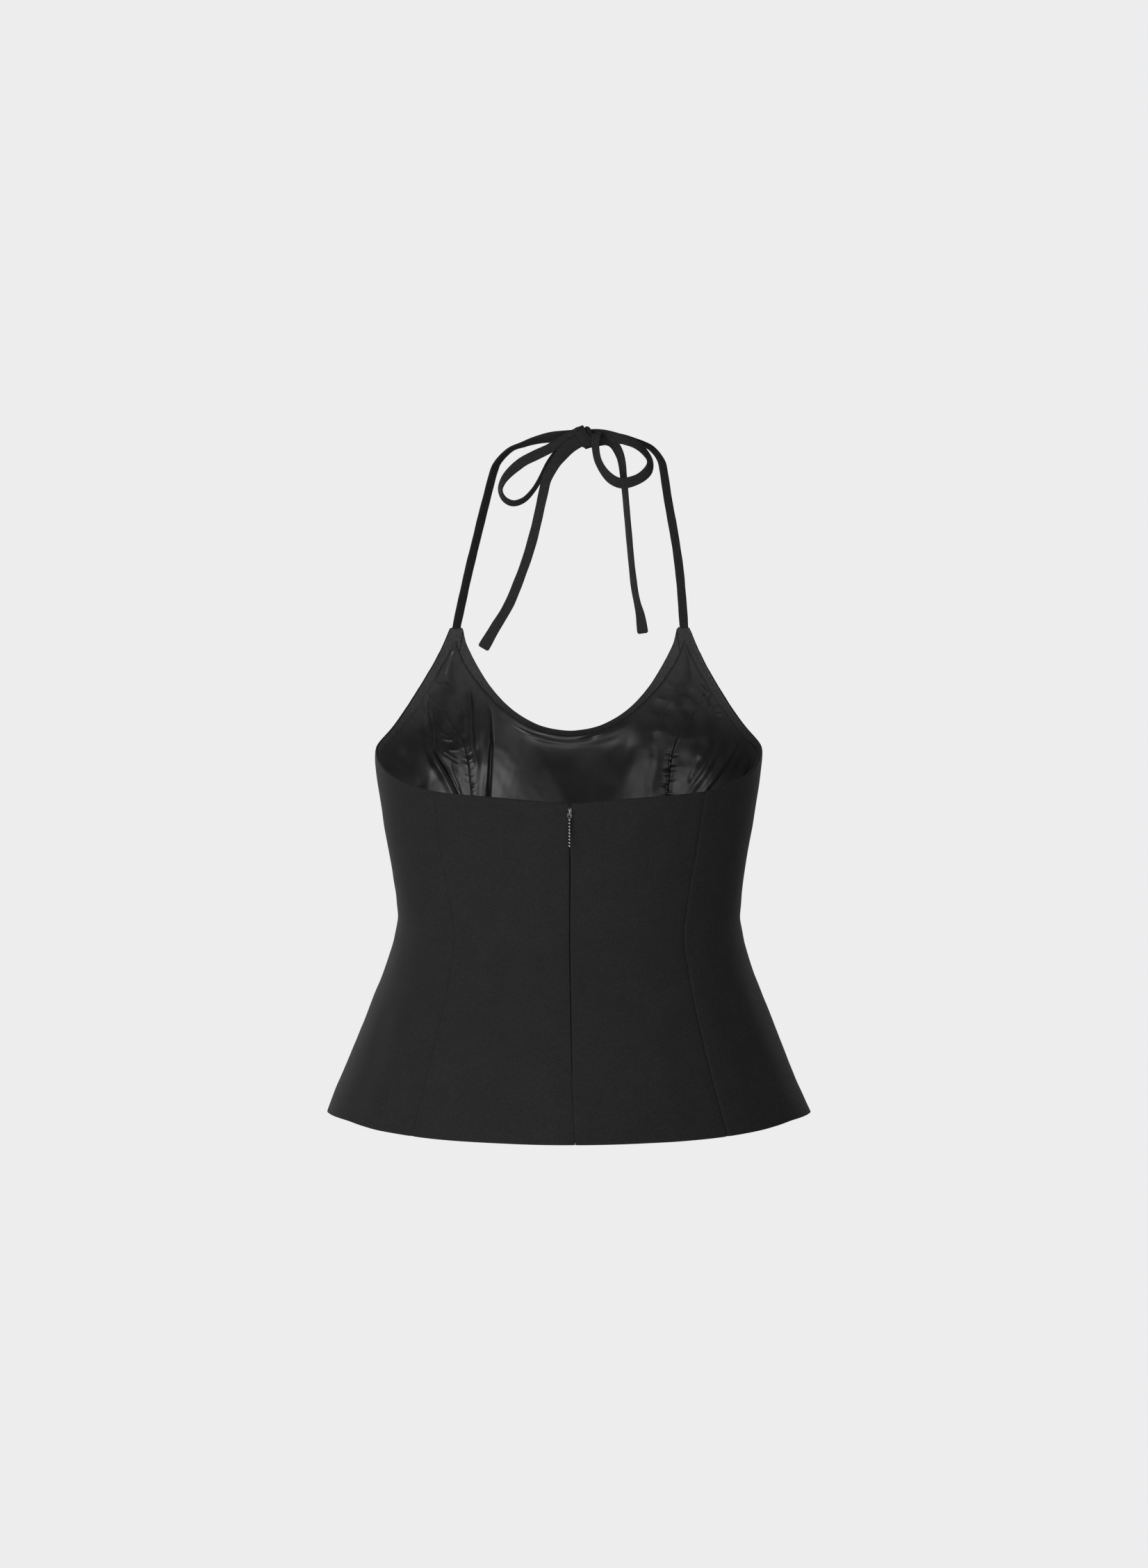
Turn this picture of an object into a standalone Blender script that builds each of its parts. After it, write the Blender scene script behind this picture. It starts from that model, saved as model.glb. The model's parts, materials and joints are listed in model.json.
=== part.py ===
# Halter neck top, filled out as it is worn: a princess-seamed bodice with its lining, facings, halter ties
# and back zip. Metres, +Z up, +Y towards the wearer's front and +X towards the wearer's right. The origin is
# at the nape, on the inner face of the neck strap. "Around" is an angle about the body in degrees, from 0 at
# the centre back by 90 at the right side seam and 180 at the centre front to 360 at the centre back again.

import math

import bmesh
import bpy
from mathutils import Vector

MM = 0.001
NAME = "halter_neck_top"

# Cloth
SHELL = 1.6 * MM                # wall of the outer cloth
LINING = 1.0 * MM               # wall of the lining, the facings and the zip tapes
SEAM_GAP = 0.4 * MM             # between two panels, along a seam
LAYER_GAP = 0.6 * MM            # between the outer cloth and what lies inside it
TOUCH = 0.3 * MM                # between pieces that meet
EDGE_GAP = 0.7 * MM             # between a facing and the lining's edge
FACING_GAP = 0.6 * MM           # between the neckline facing and an armhole facing, along the cloth
TIE_WIDTH = 8.2 * MM
TIE_THICKNESS = 1.8 * MM

# Heights and widths of the cut
SIDE_SEAM_Y = 65 * MM           # the side seams lie this far in front of the nape
HEM = -560.5                    # height of the hem in mm
LINING_HEM = -542.5             # height in mm where the lining ends, above the hem
POINT_TOP = -158.5              # height in mm of the two points that carry the straps
POINT_OUTER = 134.6             # around, at the armhole corner of a point
POINT_INNER = 140.3             # around, at the neckline corner of a point
POINT_FACING = 14 * MM          # the armhole facing covers a point down to this depth
NECK_FACING = 4.5 * MM
FACING_START = 76               # around, where the armhole facing begins behind the side seam
CUP_X, CUP_Z = 92, -262         # middle of the fullness over each front seam, in mm
CUP_SPREAD, CUP_DEPTH = 44, 15  # mm
# Heights in mm of the rows that the panels and the lining share below the top edges
LEVELS = (HEM, LINING_HEM, -529, -512.5, -487, -461, -437, -415, -396, -377, -355, -327, -293)
BACK_ROWS, FRONT_ROWS = 2, 5    # rows from the last level up to the facings' lower edge

# Sections of the bodice from the hem up, in mm. Corner 2 is an ellipse, and less is pointed at the sides.
# height, half_width, back_depth, front_depth, corner
SECTIONS = (
    (-560.5, 201.6, 134.0, 137.0, 1.70),
    (-518.5, 183.6, 122.5, 126.0, 1.79),
    (-483.5, 169.2, 112.5, 116.5, 1.87),
    (-448.5, 155.8, 102.5, 108.0, 1.95),
    (-430.5, 149.8, 97.5, 104.0, 1.98),
    (-413.5, 144.9, 93.5, 101.0, 2.00),
    (-395.5, 142.0, 90.5, 99.3, 2.00),
    (-378.5, 142.4, 90.5, 99.3, 2.00),
    (-360.5, 144.4, 92.5, 101.3, 2.00),
    (-343.5, 146.9, 95.0, 103.7, 2.00),
    (-309.5, 152.5, 100.5, 108.7, 2.00),
    (-274.5, 158.4, 105.0, 112.2, 2.00),
    (-260.5, 159.4, 106.0, 113.0, 2.00),
    (-221.5, 157.0, 104.0, 107.0, 2.00),
    (-186.5, 150.0, 100.0, 97.0, 2.00),
    (-156.5, 142.0, 95.0, 85.0, 2.00),
)

# The top edge, from the centre back along the armhole to the point, and from the point along the neckline.
# around, height
ARMHOLE_EDGE = (
    (0, -292.1),
    (12.5, -289.7),
    (24, -287.6),
    (36, -286.2),
    (44, -284.8),
    (52, -281.7),
    (60, -277.7),
    (68, -272.5),
    (76, -265),
    (84, -258.5),
    (92, -254),
    (102, -248.5),
    (108, -243.7),
    (113, -237.5),
    (120, -224),
    (124.8, -210),
    (128.8, -194.5),
    (131.7, -180),
    (133.7, -166),
    (POINT_OUTER, POINT_TOP),
)
NECKLINE_EDGE = (
    (POINT_INNER, POINT_TOP),
    (142.4, -169.5),
    (145.0, -179),
    (149.6, -194.9),
    (154.0, -209.5),
    (159.2, -224.3),
    (162.4, -231.6),
    (166.6, -239),
    (171.3, -244.9),
    (175.6, -247.7),
    (180.0, -248.9),
)

# Seams of the right half, from the hem up: height, around
FRONT_SEAM = (
    (-560.5, 145.5),
    (-384.5, 146.2),
    (-284.5, 146.4),
    (-264.5, 145.5),
    (-253.5, 143.7),
    (-243.5, 140.5),
    (-229.5, 137.0),
    (-218.5, 131.5),
    (-211.5, 127.5),
    (-199.5, 121.0),
)
BACK_SEAM = (
    (-560.5, 42.6),
    (-503.5, 41.2),
    (-448.5, 40.0),
    (-414.5, 40.2),
    (-371.5, 42.6),
    (-327.5, 44.0),
    (-284.5, 44.0),
)
# The centre back seam leans towards the right below the zip: height, around
CENTRE_LEAN = ((-560.5, 2.2), (-507.5, 1.0), (-449.5, 0.3), (-404.5, 0.0), (-284.5, 0.0))
# Half the gap between the back centres in mm, open at the top for the slider's bridge: height, half_gap
BACK_SLIT = ((-560.5, 0.2), (-306.0, 0.2), (-301.5, 1.3), (-284.5, 1.5))
# Half the gap at the side seams in mm, wider where the hem comes to a point there: height, half_gap
SIDE_GAP = ((-560.5, 0.6), (-503.5, 0.4), (-448.5, 0.2))
# Half the gap at the front seams in mm, wider where they cross the cups: height, half_gap
FRONT_GAP = ((-560.5, 0.2), (-437, 0.22), (-327, 0.32), (-240, 0.34), (-199.5, 0.26))
# Half the gap in the lining behind the zip in mm, closed below the zip's end: height, half_gap
LINING_SLIT = ((-560.5, 0.2), (-529, 0.2), (-512.5, 7.4), (-284.5, 7.4))
# How far the facing, or the lining's turned edge behind it, lies inside the armhole edge: around, width in mm
EDGE_WIDTH = ((0, 2.5), (62, 2.5), (73, 6.5), (180, 6.5))

ZIP_END = -508                  # height in mm
ZIP_TOP = -304.0                # the tapes' upper ends, below the slider
TAPE_WIDTH = 6.6 * MM
TAPE_HALF_GAP = 0.25 * MM       # from the seam line to each tape

# Zip slider, whose body lies inside the cloth and whose bridge comes out through the slit, and its pull
PIVOT_Z = -299.0 * MM
PIVOT_OUT = 1.5 * MM            # from the cloth's outer face to the pull's axis
SLIDER_SIZE = (5.0 * MM, 2.4 * MM, 7.6 * MM)
SLIDER_DROP = 0.3 * MM          # middle of the slider's body below the pull's axis
SLIDER_GAP = 0.9 * MM           # from the cloth's inner face to the slider's body
BRIDGE_THICKNESS = 1.5 * MM
BRIDGE_OUT = 1.5 * MM           # from the pull's axis to the bridge's outer face
BRIDGE_ROOT = 1.0 * MM          # how deep the bridge runs into the slider's body
BRIDGE_BELOW, BRIDGE_ABOVE = 1.6 * MM, 3.3 * MM     # from the pull's axis
EYE_DEPTH = 1.6 * MM
EYE_BELOW, EYE_ABOVE = 0.8 * MM, 2.5 * MM           # from the pull's axis
PULL_LENGTH = 28 * MM
PULL_WIDTH = 3.0 * MM
PULL_FLATNESS = 0.55
PULL_BEADS = 7
BEAD_ARC = (60, 30, 0, -30, -60)        # degrees, the points of a bead's side
BEAD_REACH = 0.53               # half a bead's height, if it were whole, as a share of the pitch
BEADS_INTO_RING = 0.3 * MM
RING_WIRE = 0.4 * MM            # radius
RING_HALF_WIDTH = 1.5 * MM
RING_HEIGHT = 4.6 * MM
RING_CORNER = 0.9 * MM

# Routes of the ties in mm. Each row is a point of the centreline and the way the strip's outer face looks.
# x, y, z, face_x, face_y, face_z
STRAP_LEFT = (
    (-96.1, 127.1, -158.5, 0.62, -0.75, -0.30),
    (-89.8, 114.0, -132.4, 0.68, -0.66, -0.30),
    (-80.4, 93.5, -94.9, 0.70, -0.62, -0.25),
    (-69.3, 70.0, -53.5, 0.72, -0.60, -0.20),
    (-62.5, 55.0, -29.2, 0.72, -0.60, -0.15),
    (-57.8, 45.5, -19.8, 0.64, -0.62, -0.30),
    (-48.0, 32.0, -10.6, 0.42, -0.60, -0.66),
    (-38.1, 21.0, -6.9, 0.25, -0.60, -0.72),
    (-28.3, 12.0, -3.9, 0.10, -0.72, -0.62),
    (-18.8, 5.5, -1.9, 0.00, -0.90, -0.35),
    (-9.1, 1.2, -0.6, 0.00, -1.00, -0.05),
    (0.0, -0.9, 0.0, 0.00, -1.00, 0.00),
    (4.1, -0.9, 0.2, 0.00, -1.00, 0.00),
)
STRAP_RIGHT = (
    (96.3, 126.9, -158.1, -0.62, -0.75, -0.30),
    (94.0, 114.0, -132.4, -0.68, -0.66, -0.30),
    (89.3, 93.5, -94.9, -0.70, -0.62, -0.25),
    (81.3, 70.0, -53.5, -0.72, -0.60, -0.20),
    (77.0, 55.0, -29.2, -0.72, -0.60, -0.15),
    (74.0, 46.0, -18.6, -0.64, -0.62, -0.30),
    (66.3, 32.5, -9.6, -0.42, -0.62, -0.62),
    (58.4, 23.5, -6.4, -0.25, -0.70, -0.60),
    (48.5, 14.0, -4.0, -0.05, -0.85, -0.45),
    (38.8, 6.5, -2.1, 0.00, -0.98, -0.15),
    (28.0, 0.5, -0.9, 0.00, -1.00, 0.00),
    (21.2, -0.9, -0.5, 0.00, -1.00, 0.00),
)
LOOP_LEFT = (
    (4.1, -5.5, 1.3, 0.00, -1.00, 0.10),
    (-5.2, -6.4, -4.2, 0.00, -1.00, 0.10),
    (-15.7, -7.4, -10.3, 0.00, -1.00, 0.10),
    (-28.1, -8.0, -16.2, 0.00, -1.00, 0.05),
    (-37.7, -8.2, -21.2, -0.10, -1.00, 0.10),
    (-47.2, -8.0, -29.0, -0.45, -0.88, 0.15),
    (-53.0, -7.5, -36.2, -0.80, -0.58, 0.10),
    (-55.3, -6.5, -43.5, -0.90, -0.42, -0.10),
    (-52.1, -5.0, -50.6, -0.65, -0.50, -0.55),
    (-45.0, -3.5, -54.0, -0.10, -0.54, -0.84),
    (-36.4, -2.5, -51.1, 0.50, -0.46, -0.70),
    (-29.0, -2.0, -43.3, 0.76, -0.40, -0.50),
    (-23.0, -2.0, -33.7, 0.82, -0.38, -0.42),
    (-16.7, -2.2, -22.5, 0.72, -0.55, -0.42),
    (-8.1, -2.6, -13.0, 0.30, -0.90, -0.30),
    (0.2, -3.0, -7.4, 0.00, -1.00, 0.00),
    (6.6, -3.4, -3.9, 0.00, -1.00, 0.00),
)
LOOP_RIGHT = (
    (22.6, -5.2, 3.0, 0.10, 0.10, 1.00),
    (22.6, -9.5, 2.2, 0.05, -0.50, 0.90),
    (22.2, -12.8, -1.6, -0.05, -0.95, 0.20),
    (21.8, -14.2, -9.2, -0.30, -0.92, 0.00),
    (22.8, -15.8, -19.7, -0.68, -0.72, -0.10),
    (27.6, -17.5, -29.2, -0.62, -0.74, -0.25),
    (34.7, -19.0, -35.8, -0.25, -0.92, -0.30),
    (43.2, -19.0, -38.0, 0.00, -0.98, -0.15),
    (54.7, -17.0, -34.6, 0.25, -0.93, 0.10),
    (62.3, -14.0, -28.2, 0.62, -0.75, 0.25),
    (64.1, -11.5, -20.6, 0.80, -0.58, 0.20),
    (59.6, -9.2, -13.0, 0.60, -0.65, 0.50),
    (52.0, -7.5, -6.8, 0.30, -0.88, 0.40),
    (41.5, -6.2, -2.9, 0.05, -0.97, 0.20),
    (31.0, -4.6, -0.1, 0.00, -1.00, 0.10),
    (21.0, -3.5, 1.2, 0.00, -1.00, 0.00),
)
TAIL_LEFT = (
    (7.2, -7.9, -4.8, 0.00, -1.00, 0.00),
    (-0.6, -9.4, -9.4, 0.00, -1.00, 0.05),
    (-7.6, -11.3, -17.0, -0.10, -1.00, 0.05),
    (-13.0, -12.4, -24.5, -0.30, -0.95, 0.05),
    (-18.3, -13.2, -34.5, -0.48, -0.88, 0.05),
    (-21.0, -14.0, -46.0, -0.60, -0.80, 0.05),
    (-26.9, -15.0, -72.4, -0.62, -0.78, 0.05),
    (-34.4, -16.5, -98.9, -0.62, -0.78, 0.05),
    (-44.4, -19.0, -125.4, -0.60, -0.80, 0.05),
    (-50.7, -20.0, -138.6, -0.55, -0.84, 0.05),
    (-58.8, -21.5, -151.8, -0.40, -0.92, 0.05),
    (-69.0, -23.0, -169.2, -0.15, -1.00, 0.05),
)
TAIL_RIGHT = (
    (21.7, -8.9, -9.6, 0.00, -1.00, 0.00),
    (29.5, -7.6, -9.0, 0.05, -1.00, 0.10),
    (35.8, -6.4, -10.4, 0.30, -0.92, 0.25),
    (40.3, -6.8, -15.6, 0.72, -0.66, 0.20),
    (42.0, -7.8, -22.6, 0.88, -0.47, 0.10),
    (43.1, -9.5, -33.8, 0.91, -0.42, 0.05),
    (44.5, -11.0, -47.1, 0.92, -0.39, 0.00),
    (46.1, -13.0, -66.9, 0.93, -0.37, 0.00),
    (48.6, -15.0, -93.4, 0.93, -0.37, 0.00),
    (51.4, -17.0, -119.9, 0.90, -0.43, 0.00),
    (53.9, -18.0, -133.1, 0.80, -0.60, 0.00),
    (56.4, -18.5, -143.1, 0.50, -0.87, 0.00),
    (58.4, -19.0, -157.4, 0.10, -1.00, 0.00),
)
TIE_STEPS = 2                   # stretches between two rows of a route

KNOT_CENTRE = (12.6, -4.5, -1.0)
KNOT_SIZE = (12.0, 11.6, 18.5)
KNOT_SLANT = -24                # degrees, its top towards the left
KNOT_ROUNDING = 3.2 * MM

CLOTH = {"color": (0.020, 0.020, 0.021), "roughness": 0.92, "metallic": 0.0}
SATIN = {"color": (0.012, 0.012, 0.013), "roughness": 0.38, "metallic": 0.0}
TAPE = {"color": (0.018, 0.018, 0.018), "roughness": 0.85, "metallic": 0.0}
GUNMETAL = {"color": (0.24, 0.24, 0.25), "roughness": 0.30, "metallic": 1.0}


# Scene and helpers

def clear_scene():
    for item in list(bpy.data.objects):
        bpy.data.objects.remove(item, do_unlink=True)


def make_collection(name):
    collection = bpy.data.collections.new(name)
    bpy.context.scene.collection.children.link(collection)
    return collection


def make_material(name, look):
    material = bpy.data.materials.new(name)
    material.use_nodes = True
    shader = material.node_tree.nodes["Principled BSDF"]
    shader.inputs["Base Color"].default_value = (*look["color"], 1.0)
    shader.inputs["Roughness"].default_value = look["roughness"]
    shader.inputs["Metallic"].default_value = look["metallic"]
    return material


def add_object(name, data, collection, look=None):
    item = bpy.data.objects.new(name, data)
    collection.objects.link(item)
    if look:
        data.materials.append(make_material(name, look))
    return item


def smooth(rows, at, column=1):
    """A column's value between its rows, on a curve that never passes beyond the rows beside it."""
    if at <= rows[0][0]:
        return rows[0][column]
    if at >= rows[-1][0]:
        return rows[-1][column]
    low = max(index for index in range(len(rows) - 1) if rows[index][0] <= at)

    def rise(index):
        return (rows[index + 1][column] - rows[index][column]) / (rows[index + 1][0] - rows[index][0])

    def slope(index):
        if index == 0:
            return rise(0)
        if index == len(rows) - 1:
            return rise(index - 1)
        before, after = rise(index - 1), rise(index)
        return 0.0 if before * after <= 0 else 2 * before * after / (before + after)

    width = rows[low + 1][0] - rows[low][0]
    t = (at - rows[low][0]) / width
    start, end = rows[low][column], rows[low + 1][column]
    return (start * (1 + 2 * t) * (1 - t) ** 2 + end * t * t * (3 - 2 * t)
            + width * (slope(low) * t * (1 - t) ** 2 - slope(low + 1) * t * t * (1 - t)))


# The form of the bodice

def on_form(around, height):
    """A point of the outer face; height is in mm."""
    half_width, back, front, corner = (smooth(SECTIONS, height, column) for column in (1, 2, 3, 4))
    side, ahead = math.sin(math.radians(around)), -math.cos(math.radians(around))
    x = half_width * math.copysign(abs(side) ** (2 / corner), side)
    y = (front if ahead > 0 else back) * math.copysign(abs(ahead) ** (2 / corner), ahead)
    if ahead > 0:
        away = ((abs(x) - CUP_X) ** 2 + (height - CUP_Z) ** 2) / (2 * CUP_SPREAD ** 2)
        y += CUP_DEPTH * ahead * math.exp(-away)
    return Vector((x * MM, SIDE_SEAM_Y + y * MM, height * MM))


def on_layer(around, height, inset=0.0):
    """A point that lies inset below the outer face."""
    across = on_form(around + 0.5, height) - on_form(around - 0.5, height)
    up = on_form(around, height + 1) - on_form(around, height - 1)
    return on_form(around, height) - across.cross(up).normalized() * inset


def step_around(around, height, distance):
    """The angle that lies a distance further round, measured along the cloth."""
    turn = math.degrees(distance / (SECTIONS[0][1] * MM))
    for _ in range(4):
        length = (on_form(around + turn, height) - on_form(around, height)).length
        turn *= abs(distance) / length
    return around + turn


def fold(around):
    return min(around % 360, 360 - around % 360)


def top_edge(around):
    half = fold(around)
    if half <= POINT_OUTER:
        return smooth(ARMHOLE_EDGE, half)
    if half < POINT_INNER:
        return POINT_TOP
    return smooth(NECKLINE_EDGE, half)


def inner_edge_rows(extra):
    """Rows of around and height for the facing's lower edge, a set width inside the armhole and neckline."""
    def edge_points(start, end):
        return [on_form(half_step / 2, top_edge(half_step / 2)) for half_step in range(2 * start, 2 * end)]

    armhole, neckline = edge_points(0, math.ceil(POINT_OUTER)), edge_points(math.ceil(POINT_INNER), 210)

    def inside(around, height):
        point = on_form(around, height)
        width = smooth(EDGE_WIDTH, around) * MM + extra
        return (min((point - edge).length for edge in armhole) >= width
                and min((point - edge).length for edge in neckline) >= NECK_FACING + extra
                and height * MM <= POINT_TOP * MM - POINT_FACING - extra)

    rows = []
    for step in range(181):
        low, high = LEVELS[-1], top_edge(step)
        for _ in range(20):
            middle = (low + high) / 2
            if inside(step, middle):
                low = middle
            else:
                high = middle
        rows.append((step, low))
    return rows


# Seams, as around at a height, with the half gap that a panel keeps to each

def beside(seam, side, gap_rows=None):
    """The edge of a panel that keeps half the gap to a seam at one side of it, +1 or -1."""
    def edge(height):
        gap = smooth(gap_rows, height) * MM if gap_rows else SEAM_GAP / 2
        run = on_form(seam(height + 1), height + 1) - on_form(seam(height - 1), height - 1)
        level_way = (on_form(seam(height) + 1, height) - on_form(seam(height) - 1, height)).normalized()
        slant = (run - level_way * run.dot(level_way)).length / run.length
        return step_around(seam(height), height, side * gap / slant)
    return edge


def centre_back(height):
    return smooth(CENTRE_LEAN, height)


def centre_back_end(height):
    return 360 + smooth(CENTRE_LEAN, height)


def back_seam_right(height):
    return smooth(BACK_SEAM, height)


def side_seam_right(height):
    return 90


def front_seam_right(height):
    return smooth(FRONT_SEAM, height)


def front_seam_left(height):
    return 360 - front_seam_right(height)


def side_seam_left(height):
    return 270


def back_seam_left(height):
    return 360 - back_seam_right(height)


# Panels

class Panel:
    """Cloth between two seams. A column keeps its share of the way across from the hem to the top."""

    def __init__(self, left, right, top_angles, rows):
        self.left, self.right, self.rows = left, right, rows
        self.shares = [0.0, *(self.share(angle) for angle in top_angles), 1.0]

    def share(self, angle):
        height = top_edge(angle)
        return (angle - self.left(height)) / (self.right(height) - self.left(height))

    def around(self, share, height):
        return self.left(height) + share * (self.right(height) - self.left(height))

    def reach(self, share, edge):
        """The height where a column meets an edge."""
        low, high = LEVELS[-1], POINT_TOP + 1
        for _ in range(40):
            middle = (low + high) / 2
            if edge(self.around(share, middle)) > middle:
                low = middle
            else:
                high = middle
        return low

    def column(self, share, heights, inset):
        return [on_layer(self.around(share, height), height, inset) for height in heights]

    def cloth(self, bottom, lower_top, top=None, inset=0.0):
        """Columns of points from the bottom up to one edge, and on to a second one above it."""
        columns = []
        for share in self.shares:
            levels = [level for level in LEVELS if level >= bottom]
            end = self.reach(share, lower_top)
            rise = (end - levels[-1]) / self.rows
            heights = levels + [levels[-1] + rise * row for row in range(1, self.rows + 1)]
            if top:
                heights.append(self.reach(share, top))
            columns.append(self.column(share, heights, inset))
        return columns

    def band(self, shares, lower_edge, inset):
        """Columns of two points, from a lower edge to the top edge."""
        return [self.column(share, (self.reach(share, lower_edge), self.reach(share, top_edge)), inset)
                for share in shares]


def strip_object(name, columns, thickness, offset, collection, look):
    """An open grid whose points are the given columns, thickened into a wall."""
    across, along = len(columns) - 1, len(columns[0]) - 1
    mesh = bpy.data.meshes.new(name)
    grid = bmesh.new()
    bmesh.ops.create_grid(grid, x_segments=across, y_segments=along, size=1)
    for vertex in grid.verts:
        column = round((vertex.co.x + 1) / 2 * across)
        row = round((vertex.co.y + 1) / 2 * along)
        vertex.co = columns[column][row]
    bmesh.ops.triangulate(grid, faces=grid.faces, quad_method="SHORT_EDGE")
    grid.to_mesh(mesh)
    grid.free()
    item = add_object(name, mesh, collection, look)
    wall = item.modifiers.new("wall", "SOLIDIFY")
    wall.thickness = thickness
    wall.offset = offset
    mesh.shade_smooth()
    return item


def mirrored(angles):
    return [360 - angle for angle in reversed(angles)]


def make_panels(collection):
    back_centre_angles, back_side_angles = [8, 17, 26, 35], [53, 62, 70, 76, 83]
    front_side_angles = [97, 104, 110, 116, 121.5]
    front_half_angles = [131, POINT_OUTER, POINT_INNER, 146, 153.5, 162, 171]
    front_centre_angles = [*front_half_angles, 180, *mirrored(front_half_angles)]
    facing_rows, lining_rows = inner_edge_rows(0.0), inner_edge_rows(EDGE_GAP)

    def facing_edge(around):
        return smooth(facing_rows, fold(around))

    def lining_edge(around):
        return smooth(lining_rows, fold(around))

    front_centre = Panel(beside(front_seam_right, 1, FRONT_GAP), beside(front_seam_left, -1, FRONT_GAP),
                         front_centre_angles, FRONT_ROWS)
    panels = {
        "back_centre_right": Panel(beside(centre_back, 1, BACK_SLIT), beside(back_seam_right, -1),
                                   back_centre_angles, BACK_ROWS),
        "back_side_right": Panel(beside(back_seam_right, 1), beside(side_seam_right, -1, SIDE_GAP),
                                 back_side_angles, BACK_ROWS),
        "front_side_right": Panel(beside(side_seam_right, 1, SIDE_GAP),
                                  beside(front_seam_right, -1, FRONT_GAP), front_side_angles, FRONT_ROWS),
        "front_centre": front_centre,
        "front_side_left": Panel(beside(front_seam_left, 1, FRONT_GAP), beside(side_seam_left, -1, SIDE_GAP),
                                 mirrored(front_side_angles), FRONT_ROWS),
        "back_side_left": Panel(beside(side_seam_left, 1, SIDE_GAP), beside(back_seam_left, -1),
                                mirrored(back_side_angles), BACK_ROWS),
        "back_centre_left": Panel(beside(back_seam_left, 1), beside(centre_back_end, -1, BACK_SLIT),
                                  mirrored(back_centre_angles), BACK_ROWS),
    }

    # Outer cloth
    for name, panel in panels.items():
        strip_object(name, panel.cloth(HEM, facing_edge, top_edge), SHELL, -1, collection, CLOTH)

    # Lining
    inset = SHELL + LAYER_GAP
    for name in ("front_side_right", "front_centre", "front_side_left"):
        columns = panels[name].cloth(LINING_HEM, lining_edge, inset=inset)
        strip_object(f"lining_{name}", columns, LINING, -1, collection, SATIN)
    beside_zip = {
        "right": Panel(beside(centre_back, 1, LINING_SLIT), back_seam_right, back_centre_angles, BACK_ROWS),
        "left": Panel(back_seam_left, beside(centre_back_end, -1, LINING_SLIT),
                      mirrored(back_centre_angles), BACK_ROWS),
    }
    for side, panel in beside_zip.items():
        centre = panel.cloth(LINING_HEM, lining_edge, inset=inset)
        outer = panels[f"back_side_{side}"].cloth(LINING_HEM, lining_edge, inset=inset)
        columns = [*centre, *outer[1:]] if side == "right" else [*outer[:-1], *centre]
        strip_object(f"lining_back_{side}", columns, LINING, -1, collection, SATIN)

    # Facings, on the columns of the panels that they lie on
    inner_corner = front_centre.share(POINT_INNER)
    for side in ("right", "left"):
        back_side, front_side = panels[f"back_side_{side}"], panels[f"front_side_{side}"]
        behind = [share for share in back_side.shares
                  if fold(back_side.around(share, top_edge(FACING_START))) >= FACING_START - 0.5]
        over_point = [share for share in front_centre.shares
                      if (share if side == "right" else 1 - share) <= inner_corner + 0.001]
        if side == "right":
            columns = [*back_side.band(behind, facing_edge, inset),
                       *front_side.band(front_side.shares[1:], facing_edge, inset),
                       *front_centre.band(over_point[1:], facing_edge, inset)]
        else:
            columns = [*front_centre.band(over_point[:-1], facing_edge, inset),
                       *front_side.band(front_side.shares[:-1], facing_edge, inset),
                       *back_side.band(behind, facing_edge, inset)]
        strip_object(f"facing_armhole_{side}", columns, LINING, -1, collection, CLOTH)
    neck_start = front_centre.share(step_around(POINT_INNER, POINT_TOP, FACING_GAP))
    neck_shares = [share for share in front_centre.shares if neck_start < share < 1 - neck_start]
    columns = front_centre.band([neck_start, *neck_shares, 1 - neck_start], facing_edge, inset)
    strip_object("facing_neckline", columns, LINING, -1, collection, CLOTH)

    # Zip tapes, beside the slit behind the centre back
    heights = [ZIP_END, *(level for level in LEVELS if ZIP_END < level < ZIP_TOP), ZIP_TOP]
    for side, sign in (("right", 1), ("left", -1)):
        columns = []
        for distance in (TAPE_HALF_GAP, TAPE_WIDTH):
            columns.append([on_layer(step_around(centre_back(height), height, sign * distance), height, inset)
                            for height in heights])
        if sign < 0:
            columns.reverse()
        strip_object(f"zip_tape_{side}", columns, LINING, -1, collection, TAPE)


# Ties

def between(t, before, start, end, after):
    """A vector on the smooth curve from start to end."""
    bend = 2 * before - 5 * start + 4 * end - after
    twist = 3 * (start - end) + after - before
    return start + 0.5 * t * (end - before + t * (bend + t * twist))


def route_points(rows):
    """Points and face directions along a smooth curve through the rows."""
    vectors = [(Vector(row[:3]) * MM, Vector(row[3:])) for row in rows]
    samples = []
    for index in range(len(vectors) - 1):
        before = vectors[max(index - 1, 0)]
        start, end = vectors[index], vectors[index + 1]
        after = vectors[min(index + 2, len(vectors) - 1)]
        for step in range(TIE_STEPS):
            t = step / TIE_STEPS
            samples.append(tuple(between(t, *corners) for corners in zip(before, start, end, after)))
    samples.append(vectors[-1])
    return samples


def tie_object(name, rows, collection):
    """A flat folded strip that follows a route."""
    samples = route_points(rows)
    columns = [[], []]
    for index, (point, face) in enumerate(samples):
        ahead = samples[min(index + 1, len(samples) - 1)][0] - samples[max(index - 1, 0)][0]
        across = ahead.cross(face).normalized()
        for column, share in enumerate((-0.5, 0.5)):
            columns[column].append(point + across * TIE_WIDTH * share)
    return strip_object(name, columns, TIE_THICKNESS, 0, collection, CLOTH)


def make_ties(collection):
    routes = {
        "strap_left": STRAP_LEFT,
        "strap_right": STRAP_RIGHT,
        "bow_loop_left": LOOP_LEFT,
        "bow_loop_right": LOOP_RIGHT,
        "tie_tail_left": TAIL_LEFT,
        "tie_tail_right": TAIL_RIGHT,
    }
    for name, rows in routes.items():
        tie_object(name, rows, collection)


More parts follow.
